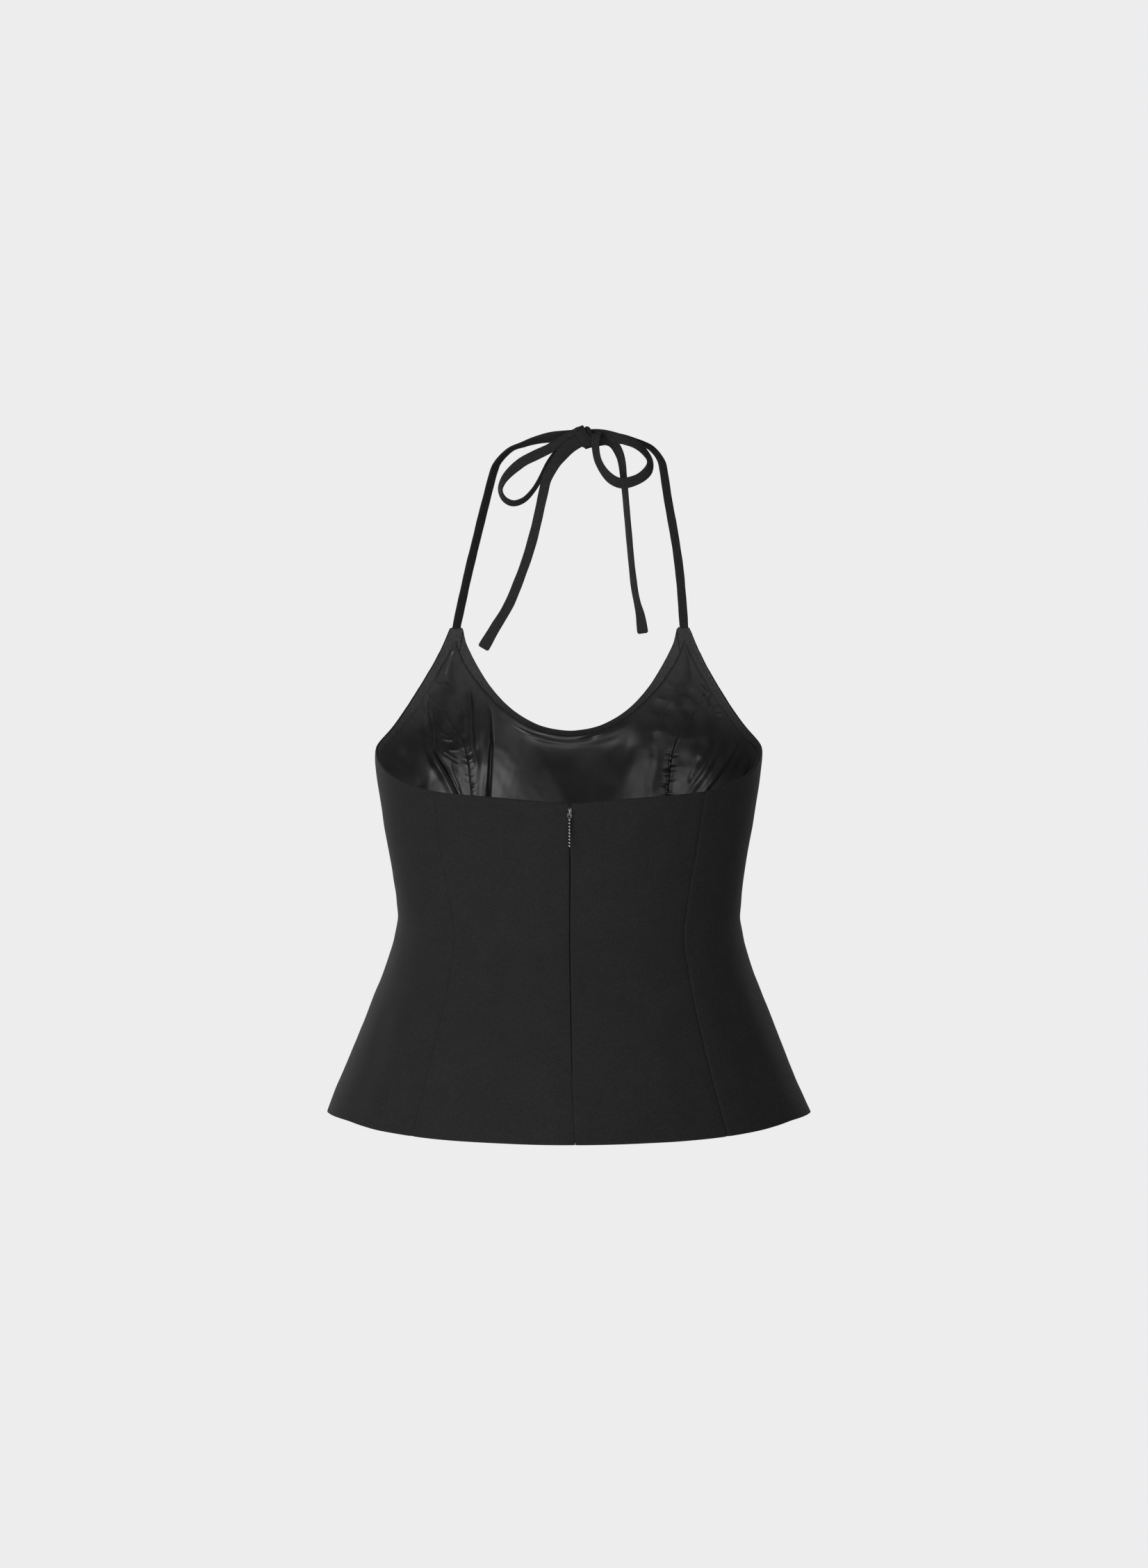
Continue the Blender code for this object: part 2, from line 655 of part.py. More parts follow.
def make_box(name, size, location, collection, look=None, bevel=0.0, segments=1):
    mesh = bpy.data.meshes.new(name)
    shape = bmesh.new()
    bmesh.ops.create_cube(shape, size=1)
    bmesh.ops.scale(shape, vec=size, verts=shape.verts)
    shape.to_mesh(mesh)
    shape.free()
    item = add_object(name, mesh, collection, look)
    item.location = location
    if bevel:
        edge = item.modifiers.new("rounding", "BEVEL")
        edge.width = bevel
        edge.segments = segments
        edge.limit_method = "NONE"
    mesh.shade_smooth()
    return item


def make_knot(collection):
    size = [length * MM for length in KNOT_SIZE]
    location = [place * MM for place in KNOT_CENTRE]
    knot = make_box("knot", size, location, collection, CLOTH, bevel=KNOT_ROUNDING, segments=3)
    knot.rotation_euler = (0, math.radians(KNOT_SLANT), 0)


# Zip hardware

def as_cutter(item):
    item.hide_render = True
    item.display_type = "WIRE"
    return item


def combine(item, other, operation):
    modifier = item.modifiers.new(operation.lower(), "BOOLEAN")
    modifier.operation = operation
    modifier.object = other


def make_slider(collection, cutters, pivot, outer_y):
    body_front = outer_y + SHELL + SLIDER_GAP
    body_centre = (0, body_front + SLIDER_SIZE[1] / 2, pivot.z - SLIDER_DROP)
    slider = make_box("zip_slider", SLIDER_SIZE, body_centre, collection, GUNMETAL, bevel=0.5 * MM)
    bridge_out, bridge_in = pivot.y - BRIDGE_OUT, body_front + BRIDGE_ROOT
    bridge_size = (BRIDGE_THICKNESS, bridge_in - bridge_out, BRIDGE_BELOW + BRIDGE_ABOVE)
    bridge_centre = (0, (bridge_in + bridge_out) / 2, pivot.z + (BRIDGE_ABOVE - BRIDGE_BELOW) / 2)
    bridge = make_box("bridge", bridge_size, bridge_centre, cutters, bevel=0.3 * MM)
    eye_size = (2 * BRIDGE_THICKNESS, EYE_DEPTH, EYE_BELOW + EYE_ABOVE)
    eye = make_box("bridge_eye", eye_size, (0, pivot.y, pivot.z + (EYE_ABOVE - EYE_BELOW) / 2), cutters)
    combine(slider, as_cutter(bridge), "UNION")
    combine(slider, as_cutter(eye), "DIFFERENCE")


def rounded_loop(half_width, top, bottom, radius):
    """Corners of a closed loop in the XZ plane, each an arc of three points."""
    points = []
    for x, z, start in ((half_width, top, 0), (-half_width, top, 90), (-half_width, bottom, 180),
                        (half_width, bottom, 270)):
        centre_x = x - math.copysign(radius, x)
        centre_z = z - radius if z == top else z + radius
        for turn in (0, 45, 90):
            angle = math.radians(start + turn)
            points.append((centre_x + radius * math.cos(angle), 0, centre_z + radius * math.sin(angle)))
    return points


def make_pull(collection, cutters, pivot):
    # Ring through the bridge
    curve = bpy.data.curves.new("pull_ring_path", "CURVE")
    curve.dimensions = "3D"
    curve.bevel_depth = RING_WIRE
    curve.bevel_resolution = 2
    points = rounded_loop(RING_HALF_WIDTH, 0, -RING_HEIGHT, RING_CORNER)
    spline = curve.splines.new("POLY")
    spline.points.add(len(points) - 1)
    for place, point in zip(spline.points, points):
        place.co = (*point, 1)
    spline.use_cyclic_u = True
    path = add_object("pull_ring_path", curve, cutters)
    mesh = bpy.data.meshes.new_from_object(path.evaluated_get(bpy.context.evaluated_depsgraph_get()))
    bpy.data.objects.remove(path)
    ring = as_cutter(add_object("pull_ring", mesh, cutters))
    ring.location = pivot

    # Row of beads below the ring, turned about Z and flattened
    top, bottom = -RING_HEIGHT + BEADS_INTO_RING, -PULL_LENGTH
    pitch = (top - bottom) / PULL_BEADS
    profile = [(0, top)]
    for bead in range(PULL_BEADS):
        centre = top - (bead + 0.5) * pitch
        for turn in BEAD_ARC:
            angle = math.radians(turn)
            profile.append((PULL_WIDTH / 2 * math.cos(angle), centre + BEAD_REACH * pitch * math.sin(angle)))
    profile.append((0, bottom))
    mesh = bpy.data.meshes.new("zip_pull")
    outline = bmesh.new()
    vertices = [outline.verts.new((x, 0, z)) for x, z in profile]
    for start, end in zip(vertices, vertices[1:]):
        outline.edges.new((start, end))
    outline.to_mesh(mesh)
    outline.free()
    pull = add_object("zip_pull", mesh, collection, GUNMETAL)
    pull.location = pivot
    turned = pull.modifiers.new("turned", "SCREW")
    turned.steps = turned.render_steps = 10
    turned.use_merge_vertices = True
    turned.merge_threshold = 0.00001
    turned.use_smooth_shade = True
    flat = pull.modifiers.new("flattened", "LATTICE")
    cage = bpy.data.lattices.new("pull_cage")
    cage.points_u = cage.points_v = cage.points_w = 2
    box = as_cutter(add_object("pull_cage", cage, cutters))
    box.location = pivot + Vector((0, 0, -PULL_LENGTH / 2))
    box.scale = (2 * PULL_WIDTH, 2 * PULL_WIDTH, 1.2 * PULL_LENGTH)
    for point in cage.points:
        point.co_deform = (point.co_deform.x, point.co_deform.y * PULL_FLATNESS, point.co_deform.z)
    flat.object = box
    combine(pull, ring, "UNION")


def main():
    clear_scene()
    collection, cutters = make_collection(NAME), make_collection("cutters")
    make_panels(collection)
    make_ties(collection)
    make_knot(collection)
    outer_y = on_form(0, PIVOT_Z / MM).y
    pivot = Vector((0, outer_y - PIVOT_OUT, PIVOT_Z))
    make_slider(collection, cutters, pivot, outer_y)
    make_pull(collection, cutters, pivot)
    bpy.context.view_layer.update()


main()
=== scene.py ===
# Halter neck top: the camera and the form of the bodice, then the ties, the outer cloth, the lining, the
# facings, the knot, the stitches and the zip, and last the stage and its light. "Around" is in degrees about
# the body: 0 is the centre back, 90 the right side seam and 180 the centre front. Heights are in mm.
import json
import math

import bpy
import numpy as np
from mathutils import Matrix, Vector

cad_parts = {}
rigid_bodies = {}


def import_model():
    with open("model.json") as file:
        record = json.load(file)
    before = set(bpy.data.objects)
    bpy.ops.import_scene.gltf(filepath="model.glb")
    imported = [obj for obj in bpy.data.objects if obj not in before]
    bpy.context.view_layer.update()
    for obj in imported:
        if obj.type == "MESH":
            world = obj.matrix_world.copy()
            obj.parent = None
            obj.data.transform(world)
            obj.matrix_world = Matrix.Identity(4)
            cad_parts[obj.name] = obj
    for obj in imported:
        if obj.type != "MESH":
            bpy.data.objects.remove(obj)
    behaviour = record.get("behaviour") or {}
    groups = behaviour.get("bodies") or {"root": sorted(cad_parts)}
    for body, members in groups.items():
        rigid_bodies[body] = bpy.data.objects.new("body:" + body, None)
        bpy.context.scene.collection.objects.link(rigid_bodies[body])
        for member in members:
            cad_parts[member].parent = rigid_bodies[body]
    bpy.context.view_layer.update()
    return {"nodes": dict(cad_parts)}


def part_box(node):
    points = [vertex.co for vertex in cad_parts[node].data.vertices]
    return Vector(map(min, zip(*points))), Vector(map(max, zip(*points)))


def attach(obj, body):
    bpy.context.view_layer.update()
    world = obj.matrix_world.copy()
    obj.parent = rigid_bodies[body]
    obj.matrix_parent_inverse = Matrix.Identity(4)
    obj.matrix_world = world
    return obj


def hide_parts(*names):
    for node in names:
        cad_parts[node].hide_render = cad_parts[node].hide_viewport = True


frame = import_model()
mm = 0.001
print("frame: %d nodes" % len(frame["nodes"]))

# Camera

camera = {
    "distance": 2.6,        # from the side seams
    "sideSeams": 0.065,     # how far they are in front of the origin
    "pitch": 5.0,           # degrees down
    "sideways": 0.0035,
    "aimHeight": -0.2852,
    "lens": 72.12,
    "sensor": 36.0,
}


def makeCamera():
    pitch = math.radians(camera["pitch"])
    data = bpy.data.cameras.new("camera")
    data.lens = camera["lens"]
    data.sensor_width = camera["sensor"]
    data.clip_end = 100
    eye = bpy.data.objects.new("camera", data)
    bpy.context.scene.collection.objects.link(eye)
    eye.location = (camera["sideways"], camera["sideSeams"] - camera["distance"] * math.cos(pitch),
                    camera["aimHeight"] + camera["distance"] * math.sin(pitch))
    eye.rotation_euler = (math.radians(90) - pitch, 0, 0)
    bpy.context.scene.camera = eye


makeCamera()

# Curves through short tables, and the form of the bodice


def curveThrough(rows, column=1):
    # A monotone curve through one column of a table
    x = np.array([row[0] for row in rows], float)
    y = np.array([row[column] for row in rows], float)
    rise = np.diff(y) / np.diff(x)
    slope = np.concatenate([rise[:1], np.zeros(len(x) - 2), rise[-1:]])
    before, after = rise[:-1], rise[1:]
    same = before * after > 0
    slope[1:-1][same] = 2 * (before * after)[same] / (before + after)[same]

    def at(value):
        value = np.clip(value, x[0], x[-1])
        low = np.clip(np.searchsorted(x, value, "right") - 1, 0, len(x) - 2)
        width = x[low + 1] - x[low]
        t = (value - x[low]) / width
        return (y[low] * (1 + 2 * t) * (1 - t) ** 2 + y[low + 1] * t * t * (3 - 2 * t)
                + width * (slope[low] * t * (1 - t) ** 2 - slope[low + 1] * t * t * (1 - t)))
    return at


def unit(vectors):
    return vectors / np.linalg.norm(vectors, axis=-1, keepdims=True)


bodice = {
    "sideSeamY": 65,
    "cupX": 92,
    "cupZ": -262,
    "cupSpread": 44,
    "cupDepth": 15,
    "cupMeet": 9,           # how softly the cups run together at the centre front
    "cupShift": 0.44,
    # height, how far the left side stands out past the sections
    "leftSway": ((-560.5, 0.6), (-536, 2.4), (-501, 2.9), (-466, 2.8), (-431, 1.3), (-396, 0.7), (-378, 1.2),
                 (-361, 2.2), (-326, 2.4), (-292, 1.3), (-269, 1.8), (-246, 1.0), (-225, 1.9), (-197, 1.8),
                 (-176, 0.6), (-156.5, 0.0)),
    # height, half width, back depth, front depth, corner (2 is an ellipse)
    "sections": (
        (-560.5, 201.6, 134.0, 137.0, 1.70),
        (-518.5, 183.6, 122.5, 126.0, 1.79),
        (-483.5, 169.2, 112.5, 116.5, 1.87),
        (-448.5, 155.8, 102.5, 108.0, 1.95),
        (-430.5, 149.8, 97.5, 104.0, 1.98),
        (-413.5, 144.9, 93.5, 101.0, 2.00),
        (-395.5, 142.0, 90.5, 99.3, 2.00),
        (-378.5, 142.4, 90.5, 99.3, 2.00),
        (-360.5, 144.4, 92.5, 101.3, 2.00),
        (-343.5, 146.9, 95.0, 103.7, 2.00),
        (-309.5, 152.5, 100.5, 108.7, 2.00),
        (-274.5, 158.4, 105.0, 112.2, 2.00),
        (-260.5, 159.4, 106.0, 113.0, 2.00),
        (-221.5, 157.0, 104.0, 107.0, 2.00),
        (-186.5, 150.0, 100.0, 97.0, 2.00),
        (-156.5, 142.0, 95.0, 85.0, 2.00),
    ),
}
sectionAt = [curveThrough(bodice["sections"], column) for column in (1, 2, 3, 4)]
leftSwayAt = curveThrough(bodice["leftSway"])

edges = {
    "hem": -560.5,
    "backTop": -293.0,      # just under the lowest part of the top edge
    "searchLow": -296.0,    # where the search for a line inside the top edge begins
    # around from the centre back, rise in mm
    "hemSway": ((0, -0.5), (20, -1.1), (38, -1.8), (52, -0.9), (60, 0.5), (68, 1.8), (80, 1.5), (95, 0.4),
                (115, 0), (180, 0)),
    "liningHem": -542.5,
    "pointTop": -157.4,
    "pointOuter": 134.6,     # around, at the armhole corner of a point
    "pointInner": 140.3,     # around, at the neckline corner
    "pointFacing": 10.0,
    "fold": 1.3,            # where the cloth starts to turn over the top edge
    "armhole": (
        (0, -292.1), (12.5, -289.7), (24, -287.6), (36, -286.2), (44, -284.8), (52, -281.7), (60, -277.7),
        (68, -272.5), (76, -265), (84, -258.5), (92, -254), (102, -248.5), (108, -243.7), (113, -237.5),
        (120, -224), (124.8, -210), (128.8, -194.5), (131.7, -180), (133.7, -166), (134.6, -158.5),
    ),
    "neckline": (
        (140.3, -158.5), (142.4, -169.5), (145.0, -179), (149.6, -194.9), (154.0, -209.5), (159.2, -224.3),
        (162.4, -231.6), (166.6, -239), (171.3, -244.9), (175.6, -247.7), (180.0, -248.9),
        (184.4, -247.7),
    ),
    "facingWidth": ((0, 2.5), (62, 2.5), (73, 6.5), (112, 6.5), (129, 8.0), (180, 8.0)),
    "neckFacing": ((0, 8.4), (142, 8.4), (147, 7.6), (154, 5.6), (162, 4.6), (180, 4.5)),
}
armholeAt, necklineAt = curveThrough(edges["armhole"]), curveThrough(edges["neckline"])
facingWidthAt = curveThrough(edges["facingWidth"])
hemSwayAt = curveThrough(edges["hemSway"])

seams = {
    "front": (
        (-560.5, 145.5), (-384.5, 146.2), (-284.5, 146.4), (-264.5, 145.5), (-253.5, 143.7), (-243.5, 140.5),
        (-229.5, 137.0), (-218.5, 131.5), (-211.5, 127.5), (-199.5, 121.0),
    ),
    "back": (
        (-560.5, 42.6), (-503.5, 41.2), (-448.5, 40.0), (-414.5, 40.2), (-371.5, 42.6), (-327.5, 44.0),
        (-284.5, 44.0),
    ),
    "centreLean": ((-560.5, 2.2), (-507.5, 1.0), (-449.5, 0.3), (-404.5, 0.0), (-284.5, 0.0)),
}
frontSeamAt, backSeamAt = curveThrough(seams["front"]), curveThrough(seams["back"])
centreLeanAt = curveThrough(seams["centreLean"])
seamPlaces = {
    "centreBack": centreLeanAt,
    "backRight": backSeamAt,
    "sideRight": lambda height: np.full_like(height, 90.0),
    "frontRight": frontSeamAt,
    "frontLeft": lambda height: 360 - frontSeamAt(height),
    "sideLeft": lambda height: np.full_like(height, 270.0),
    "backLeft": lambda height: 360 - backSeamAt(height),
    "centreBackEnd": lambda height: 360 + centreLeanAt(height),
}


def formPoint(around, height):
    # Points of the outer face, in metres
    around, height = np.broadcast_arrays(np.asarray(around, float), np.asarray(height, float))
    halfWidth, back, front, corner = (at(height) for at in sectionAt)
    side, ahead = np.sin(np.radians(around)), -np.cos(np.radians(around))
    x = halfWidth * np.sign(side) * np.abs(side) ** (2 / corner)
    y = np.where(ahead > 0, front, back) * np.sign(ahead) * np.abs(ahead) ** (2 / corner)
    x = x - leftSwayAt(height) * (np.minimum(x, 0) / halfWidth) ** 2
    wide = np.hypot(x, bodice["cupMeet"]) - bodice["cupShift"]
    away = ((wide - bodice["cupX"]) ** 2 + (height - bodice["cupZ"]) ** 2) / (2 * bodice["cupSpread"] ** 2)
    y = y + bodice["cupDepth"] * np.maximum(ahead, 0) * np.exp(-away)
    return np.stack([x, bodice["sideSeamY"] + y, height], -1) * mm


def oneDegree(around, height):
    # The step that one degree makes
    return formPoint(around + 0.5, height) - formPoint(around - 0.5, height)


def degreeLength(around, height):
    return np.linalg.norm(oneDegree(around, height), axis=-1)


def formNormal(around, height):
    # Outward
    across = oneDegree(around, height)
    up = formPoint(around, height + 1) - formPoint(around, height - 1)
    return unit(np.cross(across, up))


def onLayer(around, height, inset):
    # inset in metres below the outer face
    around, height = np.broadcast_arrays(np.asarray(around, float), np.asarray(height, float))
    return formPoint(around, height) - formNormal(around, height) * np.asarray(inset)[..., None]


def besideSeam(name, side, gap):
    # The edge that keeps a gap in mm to a seam, on its +1 or -1 side
    seam = seamPlaces[name]

    def at(height):
        around = seam(height)
        width = degreeLength(around, height)
        run = formPoint(seam(height + 1), height + 1) - formPoint(seam(height - 1), height - 1)
        level = unit(formPoint(around + 1, height) - formPoint(around - 1, height))
        upright = np.linalg.norm(run - level * (run * level).sum(-1, keepdims=True), axis=-1)
        slant = upright / np.linalg.norm(run, axis=-1)
        distance = gap(height) if callable(gap) else gap
        return around + side * distance * mm / (width * slant)
    return at


def fromBack(around):
    # The same on both sides of the body
    return np.minimum(around % 360, 360 - around % 360)


def topEdgeAt(around):
    half = fromBack(around)
    onPoint = (half > edges["pointOuter"]) & (half < edges["pointInner"])
    height = np.where(half <= edges["pointOuter"], armholeAt(half), necklineAt(half))
    return np.where(onPoint, edges["pointTop"], height)


def edgeInside(armholeWidth, necklineWidth, pointDrop):
    # A line inside the top edge, at set distances in mm from the armhole and the neckline
    half = np.arange(0, 180.25, 0.25)
    outer, inner = np.linspace(0, edges["pointOuter"], 500), np.linspace(edges["pointInner"], 200, 300)
    armhole, neckline = formPoint(outer, armholeAt(outer)), formPoint(inner, topEdgeAt(inner))
    armholeWidth, necklineWidth = (width(half) if callable(width) else width for width
                                   in (armholeWidth, necklineWidth))
    low, high = np.full_like(half, edges["searchLow"]), topEdgeAt(half)
    for _ in range(18):
        middle = (low + high) / 2
        point = formPoint(half, middle)[:, None]
        inside = np.linalg.norm(point - armhole[None], axis=-1).min(1) >= armholeWidth * mm
        inside &= np.linalg.norm(point - neckline[None], axis=-1).min(1) >= necklineWidth * mm
        inside &= middle <= edges["pointTop"] - pointDrop
        low, high = np.where(inside, middle, low), np.where(inside, high, middle)
    place = curveThrough(list(zip(half, low)))
    return lambda around: place(fromBack(around))


facingEdgeAt = edgeInside(facingWidthAt, curveThrough(edges["neckFacing"]), edges["pointFacing"])
foldEdgeAt = edgeInside(edges["fold"], edges["fold"], edges["fold"])
print("form ready")

# Meshes


def addObject(name, mesh):
    item = bpy.data.objects.new(name, mesh)
    bpy.context.scene.collection.objects.link(item)
    return item


def meshFrom(name, points, faces, uv=None):
    mesh = bpy.data.meshes.new(name)
    mesh.from_pydata(np.asarray(points).reshape(-1, 3).tolist(), [], faces)
    if uv is not None:
        layer = mesh.uv_layers.new(name="cloth")
        corner = np.zeros(len(mesh.loops), np.int32)
        mesh.loops.foreach_get("vertex_index", corner)
        layer.data.foreach_set("uv", np.asarray(uv, np.float32).reshape(-1, 2)[corner].ravel())
    mesh.shade_smooth()
    return mesh


def ringFaces(rows, turns, flipped=False):
    # Faces between closed rings of points, with an end face on the first and the last ring
    index = np.arange(rows * turns).reshape(rows, turns)
    after = np.roll(index, -1, axis=1)
    second, last = (index[1:], after[:-1]) if flipped else (after[:-1], index[1:])
    faces = np.stack([index[:-1], second, after[1:], last], -1).reshape(-1, 4).tolist()
    ends = (index[0], index[-1, ::-1]) if flipped else (index[0, ::-1], index[-1])
    return faces + [end.tolist() for end in ends]


def ringLengths(rows, turns, u, v):
    return np.stack([np.broadcast_to(u, (rows, turns)), np.broadcast_to(v[:, None], (rows, turns))], -1)


def gridNormals(grid):
    across, up = np.gradient(grid, axis=0), np.gradient(grid, axis=1)
    normal = np.cross(across, up)
    return normal / np.maximum(np.linalg.norm(normal, axis=-1, keepdims=True), 1e-12)


def gridLengths(grid):
    # u across and v up, in metres along the cloth
    columns, rows = grid.shape[:2]
    across, up = (np.linalg.norm(np.diff(grid, axis=axis), axis=-1) for axis in (0, 1))
    u = np.concatenate([np.zeros((1, rows)), np.cumsum(across, 0)])
    v = np.concatenate([np.zeros((columns, 1)), np.cumsum(up, 1)], 1)
    return np.stack([u - u[-1:] / 2, v], -1)


def clothWall(name, grid, thickness, rimSteps=3, depth=None):
    # A closed wall about a grid of points, with half-round rims
    columns, rows = grid.shape[:2]
    normals = gridNormals(grid)
    half = thickness / 2
    lengths = gridLengths(grid).reshape(-1, 2)
    index = np.arange(columns * rows).reshape(columns, rows)
    rim = np.concatenate([index[:, 0], index[-1, 1:], index[-2::-1, -1], index[0, -2:0:-1]])
    flat, flatNormals = grid.reshape(-1, 3), normals.reshape(-1, 3)
    outward = np.zeros_like(grid)
    outward[0] += grid[0] - grid[1]
    outward[-1] += grid[-1] - grid[-2]
    outward[:, 0] += grid[:, 0] - grid[:, 1]
    outward[:, -1] += grid[:, -1] - grid[:, -2]
    away = outward.reshape(-1, 3)[rim]
    away -= flatNormals[rim] * (away * flatNormals[rim]).sum(-1, keepdims=True)
    away /= np.maximum(np.linalg.norm(away, axis=-1, keepdims=True), 1e-12)
    points = [flat + flatNormals * half, flat - flatNormals * half]
    uv = [lengths] * 2
    for step in range(1, rimSteps + 1):
        angle = math.pi * step / (rimSteps + 1)
        points.append(flat[rim] + flatNormals[rim] * half * math.cos(angle) + away * half * math.sin(angle))
        uv.append(lengths[rim] + half * step / rimSteps)
    corners = index[:-1, :-1], index[1:, :-1], index[1:, 1:], index[:-1, 1:]
    square = np.stack(corners, -1).reshape(-1, 4)
    under, count = columns * rows, len(rim)
    faces = [square, square[:, ::-1] + under]
    rings = [rim, *(2 * under + step * count + np.arange(count) for step in range(rimSteps)), rim + under]
    for upper, lower in zip(rings, rings[1:]):
        faces.append(np.stack([upper, lower, np.roll(lower, -1), np.roll(upper, -1)], 1))
    mesh = meshFrom(name, np.concatenate(points), np.concatenate(faces).tolist(), np.concatenate(uv))
    # The fold attribute carries painted shade for the material
    if depth is not None:
        values = np.concatenate([depth.ravel(), depth.ravel(), np.tile(depth.ravel()[rim], rimSteps)])
        mesh.attributes.new("fold", "FLOAT", "POINT").data.foreach_set("value", values.astype(np.float32))
    return mesh


def ease(value, low, high):
    t = np.clip((value - low) / (high - low), 0, 1)
    return t * t * (3 - 2 * t)


def onCloth(left, right, share, height):
    start, end = left(height), right(height)
    return start + share * (end - start)


def reachEdge(left, right, share, edge):
    # Height where a column of a panel meets an edge
    low, high = np.full_like(share, edges["backTop"]), np.full_like(share, edges["pointTop"] - 0.1)
    for _ in range(36):
        middle = (low + high) / 2
        below = edge(onCloth(left, right, share, middle)) > middle
        low, high = np.where(below, middle, low), np.where(below, high, middle)
    return low


def panelPlaces(left, right, bottom, top, spacing, fineAbove=None):
    # Around and height of each grid point of a panel, closer where its top edge is steep. With fineAbove,
    # rows are closer over that height and columns wider apart at the centre front
    share = np.linspace(0, 1, 801)
    reach = reachEdge(left, right, share, top)
    hem, backTop = np.full_like(share, edges["hem"] + 0.5), np.full_like(share, edges["backTop"])
    paths = [formPoint(onCloth(left, right, share, height), height) for height in (reach, hem, backTop)]
    step = np.max([np.linalg.norm(np.diff(path, axis=0), axis=-1) for path in paths], axis=0)
    if fineAbove is not None:
        middle = np.abs(onCloth(left, right, share, backTop)[1:] - 178)
        step = step * (0.45 + 0.55 * ease(middle, 15, 21))
    run = np.concatenate([[0], np.cumsum(step)])
    share = np.interp(np.linspace(0, run[-1], math.ceil(run[-1] / spacing) + 1), run, share)
    reach = reachEdge(left, right, share, top)
    split = bottom if fineAbove is None else fineAbove
    rows = math.ceil((reach.max() - split) * mm / spacing) + 1
    height = split + (reach - split)[:, None] * np.linspace(0, 1, rows)[None]
    if fineAbove is not None:
        under = np.arange(math.ceil((split - bottom) / (3 * spacing / mm)))[None]
        under = bottom + (split - bottom) * under / under.size
        height = np.concatenate([np.broadcast_to(under, (len(share), under.size)), height], 1)
    return onCloth(left, right, share[:, None], height), height


# Creases


def smoothPath(rows, steps=4):
    rows = np.asarray(rows, float)
    padded = np.concatenate([rows[:1], rows, rows[-1:]])
    t = np.linspace(0, 1, steps, endpoint=False)[:, None]
    path = []
    for before, start, end, after in zip(padded, padded[1:], padded[2:], padded[3:]):
        bend, twist = 2 * before - 5 * start + 4 * end - after, 3 * (start - end) + after - before
        path.append(start + 0.5 * t * (end - before + t * (bend + t * twist)))
    return np.concatenate([*path, rows[-1:]])


def beside(points, normals, path):
    # Signed distance across a path and the distance along it, in mm, for each point
    path = np.asarray(path)
    best = np.full(len(points), 1e9)
    across, along = np.zeros(len(points)), np.zeros(len(points))
    gone = 0.0
    for start, end in zip(path, path[1:]):
        way = end - start
        length = np.linalg.norm(way)
        way = way / length
        offset = points - start
        t = np.clip(offset @ way, 0, length)
        away = offset - t[:, None] * way
        distance = np.linalg.norm(away, axis=1)
        closer = distance < best
        side = np.sign((np.cross(way, away) * normals).sum(1))
        best = np.where(closer, distance, best)
        across = np.where(closer, side * distance, across)
        along = np.where(closer, gone + t, along)
        gone += length
    return across / mm, along / mm, gone / mm


def creaseLift(points, normals, creases):
    # Each crease: kind, lift in mm, width in mm, path of (around, height)
    lift = np.zeros(len(points))
    for kind, amount, width, path in creases:
        line = smoothPath(path)
        line = formPoint(line[:, 0], line[:, 1])
        near = np.linalg.norm(points - line.mean(0), axis=1) < np.linalg.norm(line[0] - line[-1]) / 2 + 0.05
        across, along, length = beside(points[near], normals[near], line)
        taper = ease(along, 0, 0.25 * length) * ease(length - along, 0, 0.2 * length)
        s = across / width
        shape = {
            "ridge": np.exp(-s * s),
            "trough": -np.exp(-s * s),
            "fold": 2.2 * s * np.exp(-s * s),
            "foldBack": -2.2 * s * np.exp(-s * s),
        }[kind]
        lift[near] += amount * taper * shape
    return lift


def ripple(points, seed, size, amount, stretch=(1, 1, 1), waves=14):
    # Soft uneven waves, size and amount in mm
    rng = np.random.default_rng(seed)
    total = np.zeros(len(points))
    for _ in range(waves):
        way = rng.normal(size=3)
        way = way / np.linalg.norm(way) / np.asarray(stretch)
        length = size * rng.uniform(0.7, 1.6)
        total += np.sin(points @ way / mm * 2 * math.pi / length + rng.uniform(0, 2 * math.pi))
    return amount * total / math.sqrt(waves / 2)


def ripples(points, rows):
    return sum(ripple(points, *row) for row in rows)


def puckers(across, along, length, seed, amount, reach, lean, pitch):
    # Short gathers across a seam
    rng = np.random.default_rng(seed)
    place = along + lean * np.abs(across) + 1.3 * np.sign(across)
    waves = 0
    for scale in (0.47, 0.83, 1.31, 2.3):
        turn = 2 * math.pi * place / (pitch * scale) + rng.uniform(0, 6.28)
        waves = waves + np.sin(turn + (across > 0) * rng.uniform(1, 5))
    swell = 0.45 + 0.55 * np.sin(2 * math.pi * along / (pitch * 7.3) + rng.uniform(0, 6.28)) ** 2
    fade = np.exp(-(np.abs(across) / reach) ** 1.5) * ease(along, 0, 6) * ease(length - along, 0, 6)
    return amount * 0.5 * waves * swell * fade


print("tools ready")

# Materials


def newMaterial(name, roughness, metallic=0.0, **constants):
    material = bpy.data.materials.new(name)
    material.use_nodes = True
    tree = material.node_tree
    shader = tree.nodes["Principled BSDF"]
    shader.inputs["Roughness"].default_value = roughness
    shader.inputs["Metallic"].default_value = metallic
    for label, value in constants.items():
        shader.inputs[label.replace("_", " ")].default_value = value
    return material, tree, shader


def addNode(tree, kind, settings=None, **inputs):
    node = tree.nodes.new(kind)
    for label, value in (settings or {}).items():
        setattr(node, label, value)
    for label, value in inputs.items():
        feed(tree, value, node.inputs[label.replace("_", " ")])
    return node


def feed(tree, value, socket):
    # From another node's socket, or a plain value
    if hasattr(value, "is_output"):
        tree.links.new(value, socket)
    else:
        socket.default_value = value


def objectPlace(tree):
    return addNode(tree, "ShaderNodeTexCoord").outputs["Object"]


def clothPlace(tree):
    return addNode(tree, "ShaderNodeUVMap", {"uv_map": "cloth"}).outputs["UV"]


